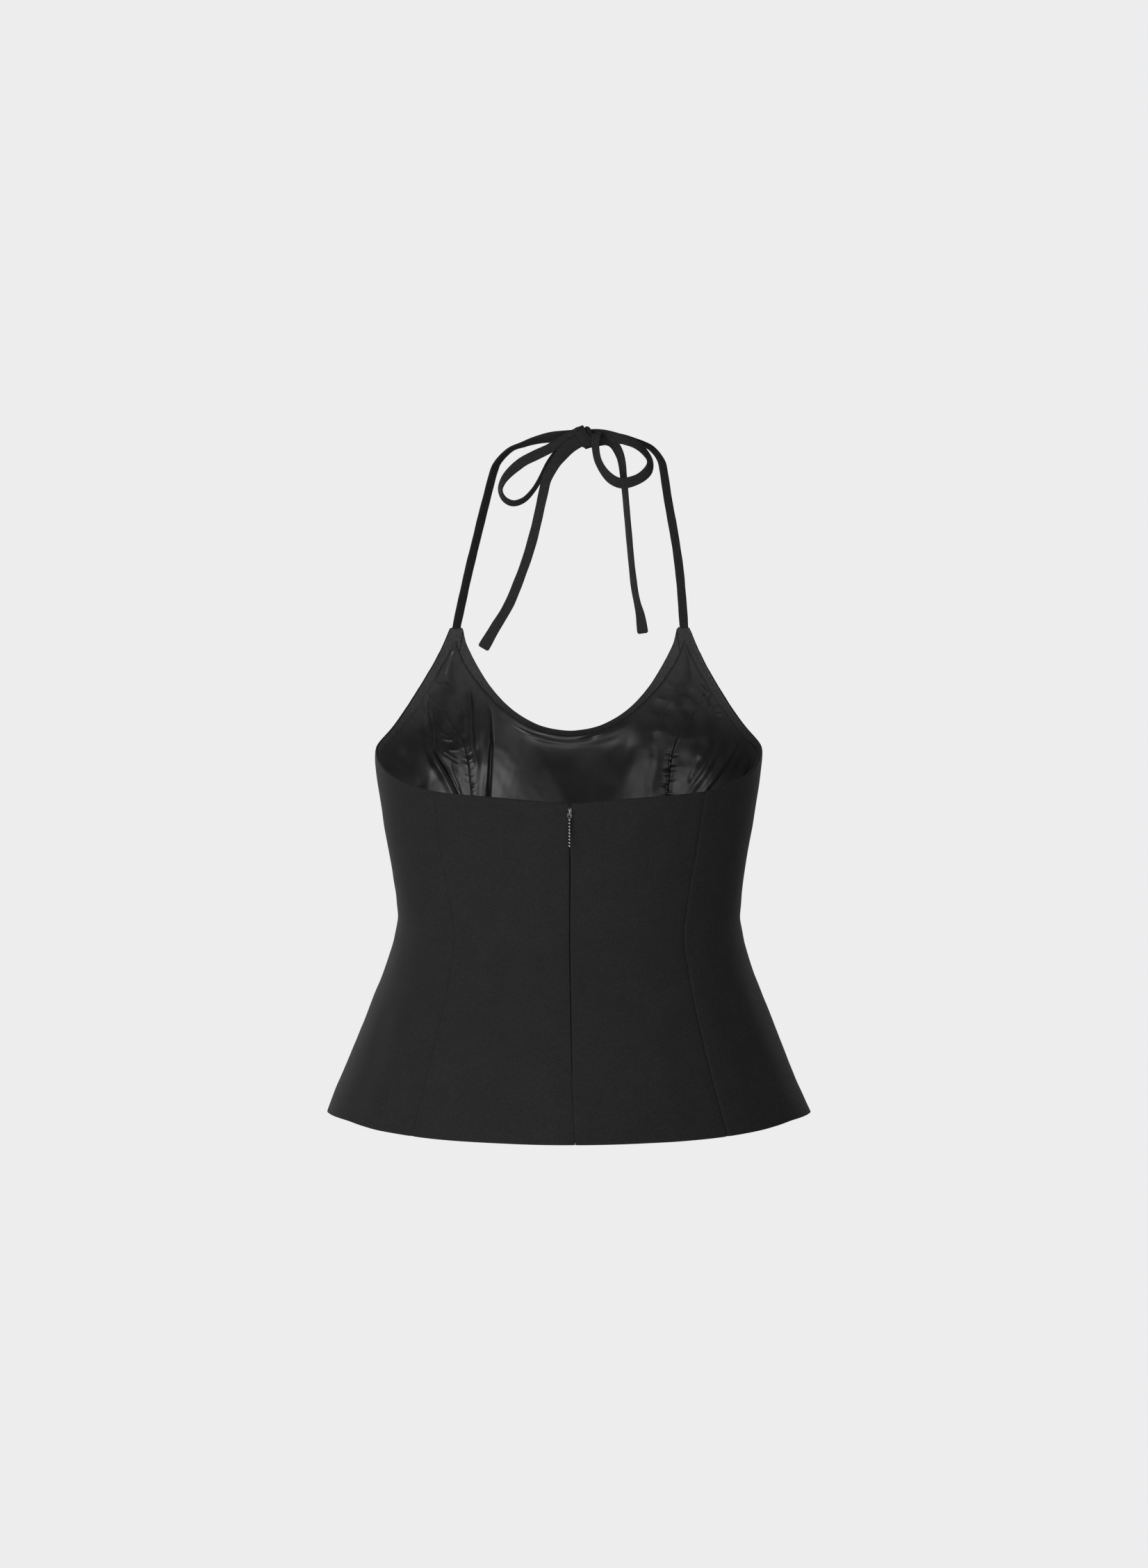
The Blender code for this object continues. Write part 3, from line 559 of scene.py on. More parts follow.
def noise(tree, place, scale, detail, **more):
    node = addNode(tree, "ShaderNodeTexNoise", Vector=place, Scale=scale, Detail=detail, **more)
    return node.outputs["Fac"]


def bands(tree, place, way, scale, **more):
    node = addNode(tree, "ShaderNodeTexWave", {"bands_direction": way}, Vector=place, Scale=scale, **more)
    return node.outputs["Fac"]


def remap(tree, value, low, high, fromLow=0.3, fromHigh=0.7):
    node = addNode(tree, "ShaderNodeMapRange", Value=value, From_Min=fromLow, From_Max=fromHigh, To_Min=low,
                   To_Max=high)
    return node.outputs["Result"]


def maths(tree, operation, first, second):
    node = addNode(tree, "ShaderNodeMath", {"operation": operation})
    feed(tree, first, node.inputs[0])
    feed(tree, second, node.inputs[1])
    return node.outputs["Value"]


def multiply(tree, first, second):
    return maths(tree, "MULTIPLY", first, second)


def tint(tree, shader, colour, amount):
    # The base colour, lighter or darker by a value about 1
    node = addNode(tree, "ShaderNodeVectorMath", {"operation": "SCALE"}, Scale=amount)
    node.inputs[0].default_value = colour
    tree.links.new(node.outputs["Vector"], shader.inputs["Base Color"])


def bump(tree, shader, height, strength, distance):
    node = addNode(tree, "ShaderNodeBump", Height=height, Strength=strength, Distance=distance)
    tree.links.new(node.outputs["Normal"], shader.inputs["Normal"])


crepe = {
    "colour": (0.0165, 0.0165, 0.0167),
    "roughness": (0.8, 0.95),
    "grainScale": 620.0,
    "cloudScale": 46.0,
    "threadScale": 640.0,
    "bump": 0.55,
    "bumpDepth": 0.00022,
}


def makeCrepe(name, **changes):
    look = {**crepe, **changes}
    material, tree, shader = newMaterial(name, 0.88, Sheen_Weight=0.02, Sheen_Roughness=0.6,
                                         Specular_IOR_Level=0.25)
    place, threads = objectPlace(tree), clothPlace(tree)
    grain = noise(tree, place, look["grainScale"], 3.0, Roughness=0.62)
    clouds = noise(tree, place, look["cloudScale"], 2.0)
    tone = multiply(tree, remap(tree, grain, 0.66, 1.38), remap(tree, clouds, 0.94, 1.07))
    tint(tree, shader, look["colour"], tone)
    tree.links.new(remap(tree, grain, *look["roughness"]), shader.inputs["Roughness"])
    pebble = addNode(tree, "ShaderNodeTexVoronoi", Vector=place, Scale=look["grainScale"] * 1.5,
                     Randomness=1.0)
    weft = bands(tree, threads, "X", look["threadScale"], Distortion=1.2, Detail=1.0)
    warp = bands(tree, threads, "Y", look["threadScale"] * 1.15, Distortion=1.2, Detail=1.0)
    weave = multiply(tree, multiply(tree, weft, warp), 0.35)
    rough = maths(tree, "ADD", multiply(tree, grain, 1.1), multiply(tree, pebble.outputs["Distance"], 0.4))
    bump(tree, shader, maths(tree, "ADD", weave, rough), look["bump"], look["bumpDepth"])
    return material


satin = {
    "colour": (0.0260, 0.0260, 0.0264),
    "roughness": 0.32,
    "streakScale": 1800.0,
    "cloudScale": 60.0,
    "bump": 0.12,
    "bumpDepth": 0.0001,
    "paintedShadeTone": 0.2,        # painted shade, how dark the colour gets in the bottom of a sharp fold
    "foldRoughness": 0.4,       # added there
}


def makeSatin(name):
    base = satin["roughness"]
    material, tree, shader = newMaterial(name, base, Specular_IOR_Level=0.6, Anisotropic=0.4,
                                         Sheen_Weight=0.06, Sheen_Roughness=0.4)
    threads = clothPlace(tree)
    tangent = addNode(tree, "ShaderNodeTangent", {"direction_type": "UV_MAP", "uv_map": "cloth"})
    tree.links.new(tangent.outputs["Tangent"], shader.inputs["Tangent"])
    squeeze = addNode(tree, "ShaderNodeMapping", Vector=threads, Scale=(1.0, 0.06, 1.0))
    streaks = noise(tree, squeeze.outputs["Vector"], satin["streakScale"], 2.0)
    clouds = noise(tree, threads, satin["cloudScale"], 3.0)
    tone = multiply(tree, remap(tree, streaks, 0.85, 1.15), remap(tree, clouds, 0.9, 1.1))
    # Painted shade: the fold attribute darkens the colour in folds, over crumples and under the facing's
    # edge, and roughens the cloth there
    fold = addNode(tree, "ShaderNodeAttribute", {"attribute_name": "fold"}).outputs["Fac"]
    tone = multiply(tree, tone, remap(tree, fold, 1.0, satin["paintedShadeTone"], 0, 1))
    tint(tree, shader, satin["colour"], tone)
    roughness = maths(tree, "ADD", remap(tree, clouds, base - 0.03, base + 0.05),
                      remap(tree, fold, 0.0, satin["foldRoughness"], 0.45, 1))
    tree.links.new(roughness, shader.inputs["Roughness"])
    bump(tree, shader, streaks, satin["bump"], satin["bumpDepth"])
    return material


def makeTape(name, colour):
    material, tree, shader = newMaterial(name, 0.8, Specular_IOR_Level=0.35)
    ribs = bands(tree, clothPlace(tree), "DIAGONAL", 420.0, Distortion=0.4)
    tint(tree, shader, colour, remap(tree, ribs, 0.75, 1.2, 0, 1))
    bump(tree, shader, ribs, 0.6, 0.0001)
    return material


def makeMetal(name, colour, roughness):
    material, tree, shader = newMaterial(name, roughness, metallic=1.0)
    wear = noise(tree, objectPlace(tree), 900.0, 3.0)
    tint(tree, shader, colour, remap(tree, wear, 0.85, 1.1))
    tree.links.new(remap(tree, wear, roughness * 0.8, roughness * 1.4), shader.inputs["Roughness"])
    return material


def makeThread(name, colour):
    material, tree, shader = newMaterial(name, 0.5, Specular_IOR_Level=0.5, Sheen_Weight=0.2)
    twist = bands(tree, objectPlace(tree), "DIAGONAL", 900.0)
    tint(tree, shader, colour, remap(tree, twist, 0.7, 1.25, 0, 1))
    return material


finish = {
    "crepe": makeCrepe("blackCrepe"),
    # The bow is the same crepe as the straps, painted lighter: painted light
    "bow": makeCrepe("blackCrepeBow", colour=(0.0205, 0.0205, 0.0208)),
    # The facings are the same crepe as the outer cloth, painted lighter: painted light
    "inner": makeCrepe("blackCrepeInner", colour=(0.0245, 0.0245, 0.0248), bump=0.25),
    "satin": makeSatin("blackSatin"),
    "tape": makeTape("wovenTape", (0.014, 0.014, 0.015)),
    "gunmetal": makeMetal("gunmetal", (0.25, 0.25, 0.26), 0.16),
    "coil": makeMetal("zipCoil", (0.10, 0.10, 0.105), 0.35),
    "thread": makeThread("blackThread", (0.019, 0.019, 0.0195)),
}


def dress(item, look, *nodes, body="garment"):
    # Gives a piece its finish and its body, and hides the CAD nodes that it stands for
    if not item.data.materials:
        item.data.materials.append(finish[look])
    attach(item, body)
    if nodes:
        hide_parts(*nodes)
    return item


# Ties: each row is a point of the centreline in mm, the way its face looks, and its width in mm

ties = {
    "thickness": 1.7,
    "corner": 1.8,
    "square": 0.9,          # the ends thin down over this length
    "groove": 0.72,         # where the stitching sinks in, in half widths
    "stitchIn": 1.15,       # edge stitching, from the edge
    "cordWidth": 8.2,
    "uvStep": 0.0009,
    "rows": {
        "strap_left": (
            (-97.4, 130.9, -168.5, 0.46, -0.8, -0.38, 8.2), (-96.3, 128.3, -161.5, 0.46, -0.8, -0.36, 8.2),
            (-89.8, 114, -132.4, 0.48, -0.8, -0.3, 8.3), (-80.4, 93.5, -94.9, 0.5, -0.78, -0.25, 8.3),
            (-69.3, 70, -53.5, 0.53, -0.78, -0.2, 8.3), (-62.5, 55, -29.2, 0.55, -0.75, -0.15, 8.2),
            (-57.8, 45.5, -19.8, 0.52, -0.7, -0.3, 8.2), (-48, 32, -10.6, 0.42, -0.6, -0.66, 8),
            (-38.1, 21, -6.9, 0.25, -0.6, -0.72, 8.2), (-28.3, 12, -3.9, 0.1, -0.72, -0.62, 8.4),
            (-18.8, 5.5, -1.9, 0, -0.9, -0.35, 8.6), (-9.1, 1.2, -0.6, 0, -1, -0.05, 8.6),
            (0, -0.9, 0, 0, -1, 0, 8.6), (4.1, -1.2, 0.2, 0, -1, 0, 8.6), (10.5, -2.4, 0, 0, -1, 0, 8.4),
        ),
        "strap_right": (
            (97.4, 130.9, -168.5, -0.46, -0.8, -0.38, 8.2), (96.5, 128.3, -161.5, -0.46, -0.8, -0.36, 8.2),
            (94, 114, -132.4, -0.48, -0.8, -0.3, 8.3), (89.3, 93.5, -94.9, -0.5, -0.78, -0.25, 8.3),
            (81.3, 70, -53.5, -0.53, -0.78, -0.2, 8.3), (77, 55, -29.2, -0.55, -0.75, -0.15, 8.2),
            (74, 46, -18.6, -0.52, -0.7, -0.3, 8.2), (66.3, 32.5, -9.6, -0.42, -0.62, -0.62, 8),
            (58.4, 23.5, -6.4, -0.25, -0.7, -0.6, 8.2), (48.5, 14, -4, -0.05, -0.85, -0.45, 8.4),
            (38.8, 6.5, -2.1, 0, -0.98, -0.15, 8.6), (28, 0.5, -0.9, 0, -1, 0, 9),
            (21.2, -0.9, -0.5, 0, -1, 0, 9), (14, -2.2, -0.6, 0, -1, 0, 8.6),
        ),
        "bow_loop_left": (
            (11, -5.2, 2.6, 0, -1, 0.1, 8), (4.1, -5.5, 1, 0, -1, 0.1, 8.2),
            (-5.2, -6.4, -4.2, 0, -1, 0.1, 8.4), (-15.7, -7.4, -10.3, 0, -1, 0.1, 8.2),
            (-28.1, -8, -16.2, 0, -1, 0.05, 8.2), (-37.7, -8.2, -21.2, -0.1, -1, 0.1, 8),
            (-47.2, -8, -29, -0.45, -0.88, 0.15, 8), (-53, -7.5, -36.2, -0.8, -0.58, 0.1, 8),
            (-55.3, -6.5, -43.5, -0.9, -0.42, -0.1, 8), (-52.1, -5, -50.6, -0.65, -0.5, -0.55, 8),
            (-45, -3.5, -54, -0.1, -0.54, -0.84, 8), (-36.4, -2.5, -51.1, 0.5, -0.46, -0.7, 8),
            (-29, -2, -43.3, 0.76, -0.4, -0.5, 8), (-23, -2, -33.7, 0.82, -0.38, -0.42, 8),
            (-16.7, -2.2, -22.5, 0.72, -0.55, -0.42, 8), (-8.1, -2.6, -13, 0.3, -0.9, -0.3, 8),
            (0.2, -3, -7.4, 0, -1, 0, 8), (6.6, -3.4, -3.9, 0, -1, 0, 8), (12, -3.6, -2.4, 0, -1, 0, 8),
        ),
        "bow_loop_right": (
            (21.6, -5.2, 1.6, -0.2, 0.1, 1, 8), (21.4, -9, 1, -0.25, -0.5, 0.85, 8),
            (20.9, -12.4, -2.6, -0.45, -0.88, 0.2, 8), (20.6, -14.2, -9.2, -0.66, -0.74, 0, 8),
            (22.4, -15.8, -19.7, -0.72, -0.68, -0.1, 8), (27.6, -17.5, -29.2, -0.62, -0.74, -0.25, 8.2),
            (34.7, -19, -35.8, -0.25, -0.92, -0.3, 8.4), (43.2, -19, -38, 0, -0.98, -0.15, 8.6),
            (54.7, -17, -34.6, 0.25, -0.93, 0.1, 8.4), (62.3, -14, -28.2, 0.62, -0.75, 0.25, 8.2),
            (64.1, -11.5, -20.6, 0.8, -0.58, 0.2, 8), (59.6, -9.2, -13, 0.6, -0.65, 0.5, 8),
            (52, -7.5, -6.8, 0.3, -0.88, 0.4, 8), (41.5, -6.2, -2.9, 0.05, -0.97, 0.2, 8),
            (31, -4.6, -0.1, 0, -1, 0.1, 8), (21, -3.5, 1.2, 0, -1, 0, 8), (14, -3.6, 0.6, 0, -1, 0, 8),
        ),
        "tie_tail_left": (
            (12.5, -6.4, -2.6, 0, -1, 0, 9.2), (7.2, -7.6, -4.8, 0, -1, 0, 9.8),
            (-0.6, -9.4, -9.6, 0, -1, 0.05, 10.6), (-7.6, -11.3, -17, -0.1, -1, 0.05, 10),
            (-13, -12.4, -24.5, -0.25, -0.96, 0.05, 9.2), (-18.3, -13.2, -34.5, -0.36, -0.93, 0.05, 8.6),
            (-21, -14, -46, -0.42, -0.9, 0.05, 8.3), (-26.9, -15, -72.4, -0.44, -0.9, 0.05, 8.3),
            (-34.4, -16.5, -98.9, -0.42, -0.9, 0.05, 8.3), (-44.4, -19, -125.4, -0.4, -0.92, 0.05, 8.3),
            (-50.7, -20, -138.6, -0.36, -0.93, 0.05, 8.4), (-58.8, -21.5, -151.8, -0.26, -0.96, 0.05, 8.6),
            (-69, -23, -169.2, -0.15, -1, 0.05, 9.4),
        ),
        "tie_tail_right": (
            (15, -5.6, -4.6, 0, -1, 0, 7.4), (21.7, -6.2, -5, 0, -1, 0, 7.2),
            (29.5, -5, -4.4, -0.05, -1, 0.1, 7.2), (35.6, -3.8, -7.4, -0.3, -0.92, 0.25, 7.6),
            (39.8, -5.4, -14.8, -0.6, -0.78, 0.2, 8), (41.8, -7.4, -22.6, -0.74, -0.66, 0.1, 8),
            (43.1, -9.5, -33.8, -0.8, -0.6, 0.05, 8.1), (44.5, -11, -47.1, -0.82, -0.56, 0, 8.1),
            (46.1, -13, -66.9, -0.84, -0.54, 0, 8.1), (48.6, -15, -93.4, -0.84, -0.54, 0, 8.1),
            (51.4, -17, -119.9, -0.82, -0.57, 0, 8.1), (53.9, -18, -133.1, -0.8, -0.6, 0, 8.2),
            (56.4, -18.5, -143.1, -0.5, -0.87, 0, 8.4), (58.4, -19, -157.4, -0.1, -1, 0, 8.8),
        ),
    },
}


def tieProfile():
    # Across in half widths and height in half thicknesses, round the folded strip; its edges are round
    right = [0.25, 0.5, 0.66, 0.72, 0.78, 0.86, 0.94, 0.985, 1]
    upper = [-place for place in right[::-1]] + [0] + right
    across = np.array(upper + upper[-2:0:-1], float)
    side = np.array([1] * len(upper) + [-1] * (len(upper) - 2), float)
    height = side * (1 - np.abs(across) ** 9) ** 0.5
    groove = np.exp(-((np.abs(across) - ties["groove"]) / 0.05) ** 2)
    return across, height * (1 - 0.22 * groove) * (1 - 0.06 * np.abs(across))


def sweepTie(name, rows):
    path = smoothPath(rows, 10)
    run = np.concatenate([[0], np.cumsum(np.linalg.norm(np.diff(path[:, :3], axis=0), axis=1))])
    near = np.array([0, 0.08, 0.25, 0.5, 0.85, 1.3, 1.8, 2.5])
    places = np.concatenate([near, run[(run > 3.2) & (run < run[-1] - 3.2)], run[-1] - near[::-1]])
    path = np.stack([np.interp(places, run, column) for column in path.T], 1)
    points, faces, widths = path[:, :3] * mm, path[:, 3:6], path[:, 6] * mm
    ahead = unit(np.gradient(points, axis=0))
    across = unit(np.cross(ahead, faces))
    up = np.cross(across, ahead)
    run = np.concatenate([[0], np.cumsum(np.linalg.norm(np.diff(points, axis=0), axis=1))])
    shareX, shareY = tieProfile()
    wave = 1 + 0.02 * np.sin(run / mm / 7.0 + len(name)) + 0.015 * np.sin(run / mm / 2.9)
    half = widths / 2 * wave
    thick = ties["thickness"] / 2 * mm * (1 + 0.08 * np.sin(run / mm / 5.3 + 1.0))
    lean = 0.10 * mm * np.sin(run / mm / 9.0 + len(name))
    # Squared ends with rounded corners
    ends = np.minimum(run, run[-1] - run)
    corner = ties["corner"] * mm
    half = half - corner * (1 - np.sqrt(1 - (1 - np.clip(ends / corner, 0, 1)) ** 2))
    square = np.clip(ends / (ties["square"] * mm), 0, 1)
    swell = thick * (0.35 + 0.65 * np.sqrt(1 - (1 - square) ** 2))
    rise = swell[:, None] * shareY[None] + lean[:, None] * shareX[None] ** 2
    rings = (points[:, None] + across[:, None] * half[:, None, None] * shareX[None, :, None]
             + up[:, None] * rise[..., None])
    count, around = rings.shape[:2]
    uv = ringLengths(count, around, np.cumsum(np.full(around, ties["uvStep"])), run)
    mesh = meshFrom(name, rings, ringFaces(count, around), uv)
    return mesh, {"points": points, "across": across, "up": up, "half": half, "thick": thick, "run": run}


stitchPaths = {"edge": [], "facing": []}


def tieStitches(shape):
    # Edge stitching on both faces of a tie
    inner = shape["half"] - ties["stitchIn"] * mm
    keep = (shape["run"] > 2 * mm) & (shape["run"] < shape["run"][-1] - 1.2 * mm)
    for side in (-1, 1):
        for face in (-1, 1):
            sunk = (face * shape["thick"] * 0.80)[:, None]
            line = shape["points"] + shape["across"] * (side * inner)[:, None] + shape["up"] * sunk
            stitchPaths["edge"].append(line[keep])


def makeTies():
    pieces = {}
    for name, rows in ties["rows"].items():
        mesh, shape = sweepTie(name + "_cloth", rows)
        item = dress(addObject(name + "_cloth", mesh), "crepe" if name.startswith("strap") else "bow", name)
        tieStitches(shape)
        pieces[name] = (item, shape)
    for name, farEnd, lay in (("bow_loop_left", "object", "loose"), ("bow_loop_right", "object", "loose"),
                              ("tie_tail_left", "bare", "hanging"), ("tie_tail_right", "bare", "hanging")):
        item, shape = pieces[name]


makeTies()

# Outer cloth

shell = {
    "spacing": 2.3 * mm,
    "frontSpacing": 3.0 * mm,
    "wall": 1.0 * mm,
    "gap": -0.04,           # to a seam line, in mm; less than 0, because sewn edges press together
    "foldRadius": 1.0 * mm,     # of the top edge's turn, at the middle of the wall
    "foldTurn": 70.0,       # degrees; the facing turns the rest
    "hemSwayOver": (510, 560),      # below the origin, where the hem's sway comes in
    "seamDip": 0.38,        # how deep, how wide and how puckered a seam is, in mm
    "seamWidth": 1.3,
    "pucker": 0.045,
    "middleSeam": (505, 517),       # below the origin, where the centre seam goes on from the zip
    "ripples": ((3, 95, 0.45), (4, 34, 0.07)),      # seed, then size and height of the waves in mm
    "panels": {
        "back_centre_right": ("centreBack", "backRight"),
        "back_side_right": ("backRight", "sideRight"),
        "front_side_right": ("sideRight", "frontRight"),
        "front_centre": ("frontRight", "frontLeft"),
        "front_side_left": ("frontLeft", "sideLeft"),
        "back_side_left": ("sideLeft", "backLeft"),
        "back_centre_left": ("backLeft", "centreBackEnd"),
    },
    # Half the opening at the centre back in mm: the right edge stands back a little from the coil
    "slitRight": ((-560.5, 0.0), (-511, 0.0), (-501, 0.28), (-460, 0.42), (-420, 0.42), (-380, 0.5),
                  (-345, 0.9), (-325, 1.35), (-306, 1.6), (-300, 1.7), (-284.5, 1.7)),
    "slitLeft": ((-560.5, 0.0), (-511, 0.0), (-501, 0.16), (-420, 0.22), (-345, 0.24), (-306, 0.4),
                 (-300, 1.1), (-284.5, 1.4)),
    "creases": (
        ("ridge", 0.9, 16, ((62, -420), (64, -470), (67, -520), (68, -575))),
        ("trough", 0.8, 13, ((53, -430), (54, -480), (56, -530), (57, -575))),
        ("ridge", 0.7, 15, ((26, -450), (27, -500), (28, -575))),
        ("ridge", 0.8, 17, ((-28, -455), (-30, -510), (-31, -575))),
        ("trough", 0.7, 14, ((-60, -430), (-62, -500), (-64, -575))),
        ("ridge", 0.9, 15, ((300, -440), (303, -500), (304, -575))),
        ("ridge", 0.9, 18, ((112, -430), (111, -490), (110, -575))),
        ("trough", 0.8, 15, ((128, -440), (128, -500), (127, -575))),
        ("ridge", 0.8, 18, ((163, -450), (164, -510), (165, -575))),
        ("ridge", 0.8, 18, ((197, -445), (196, -505), (196, -575))),
        ("trough", 0.8, 15, ((236, -440), (235, -500), (235, -575))),
        ("ridge", 0.9, 17, ((252, -430), (252, -500), (253, -575))),
        ("trough", 0.9, 3.6, ((-1, -304), (-9, -306), (-17, -307), (-28, -305))),
        ("trough", 0.35, 5, ((4, -300), (12, -301), (20, -300))),
        ("trough", 0.5, 7, ((80, -398), (90, -394), (101, -399))),
        ("trough", 0.5, 7, ((260, -399), (270, -394), (281, -398))),
    ),
}


def panelEdges(piece, name, slitRight, slitLeft):
    # The two edges of a panel, clear of its seam lines and of the opening at the centre back
    start, end = piece["panels"][name]
    clear = piece["gap"] + piece["wall"] / mm / 2
    left, right = besideSeam(start, 1, clear), besideSeam(end, -1, clear)
    if start == "centreBack":
        openRight = curveThrough(slitRight)
        left = besideSeam(start, 1, lambda height: openRight(height) + clear)
    if end == "centreBackEnd":
        openLeft = curveThrough(slitLeft)
        right = besideSeam(end, -1, lambda height: openLeft(height) + clear)
    return left, right


def seamDip(around, height, names):
    # The cloth draws in at a seam, with faint gathers along it
    dip = np.zeros(around.size)
    for number, name in enumerate(names):
        seam = seamPlaces[name](height)
        away = np.abs(around - seam) * degreeLength(seam, height) / mm
        dip -= shell["seamDip"] * np.exp(-(away / shell["seamWidth"]) ** 2)
        waves = np.sin(height / 2.7 + number) + np.sin(height / 4.3 + 2 * number)
        dip += shell["pucker"] * waves * np.exp(-(away / 5.0) ** 2)
    return dip


def makeShell():
    creases = [(kind, amount, width, [(around % 360, height) for around, height in path])
               for kind, amount, width, path in shell["creases"]]
    for name, seamNames in shell["panels"].items():
        left, right = panelEdges(shell, name, shell["slitRight"], shell["slitLeft"])
        spacing = shell["frontSpacing"] if name.startswith("front") else shell["spacing"]
        around, height = panelPlaces(left, right, edges["hem"] + 0.5, foldEdgeAt, spacing)
        height = height + hemSwayAt(fromBack(around)) * ease(-height, *shell["hemSwayOver"])
        base, normals = formPoint(around, height), formNormal(around, height)
        flat, flatNormals = base.reshape(-1, 3), normals.reshape(-1, 3)
        lift = creaseLift(flat, flatNormals, creases)
        lift += ripples(flat, shell["ripples"])
        ringAround, ringHeight = around.ravel(), height.ravel()
        middle = [seam for seam in seamNames if seam.startswith("centreBack")]
        sides = [seam for seam in seamNames if seam not in middle]
        lift += seamDip(ringAround, ringHeight, sides)
        lift += seamDip(ringAround, ringHeight, middle) * ease(-ringHeight, *shell["middleSeam"])
        below = topEdgeAt(ringAround) - ringHeight
        lift *= 0.35 + 0.65 * ease(below, 0, 25)     # calmer near the top edge
        grid = (flat + flatNormals * (lift * mm - shell["wall"] / 2)[:, None]).reshape(base.shape)
        turn = np.radians(np.linspace(0, shell["foldTurn"], 7))[1:]
        grid = np.concatenate([grid, turnedEdge(grid, normals[:, -1], turn)], 1)
        clothPiece(name, grid, shell["wall"], "crepe")
    print("outer cloth")


def turnedEdge(grid, outward, turn):
    # Rows that carry the cloth over its top edge, at the turns given in radians
    along = unit(np.gradient(grid[:, -1], axis=0))
    up = unit(np.cross(outward, along))
    radius = shell["foldRadius"]
    return np.stack([grid[:, -1] + up * radius * math.sin(angle) - outward * radius * (1 - math.cos(angle))
                     for angle in turn], 1)


def clothPiece(name, grid, thickness, look, **more):
    mesh = clothWall(name + "_cloth", grid, thickness, **more)
    return dress(addObject(name + "_cloth", mesh), look, name)


makeShell()

# Lining

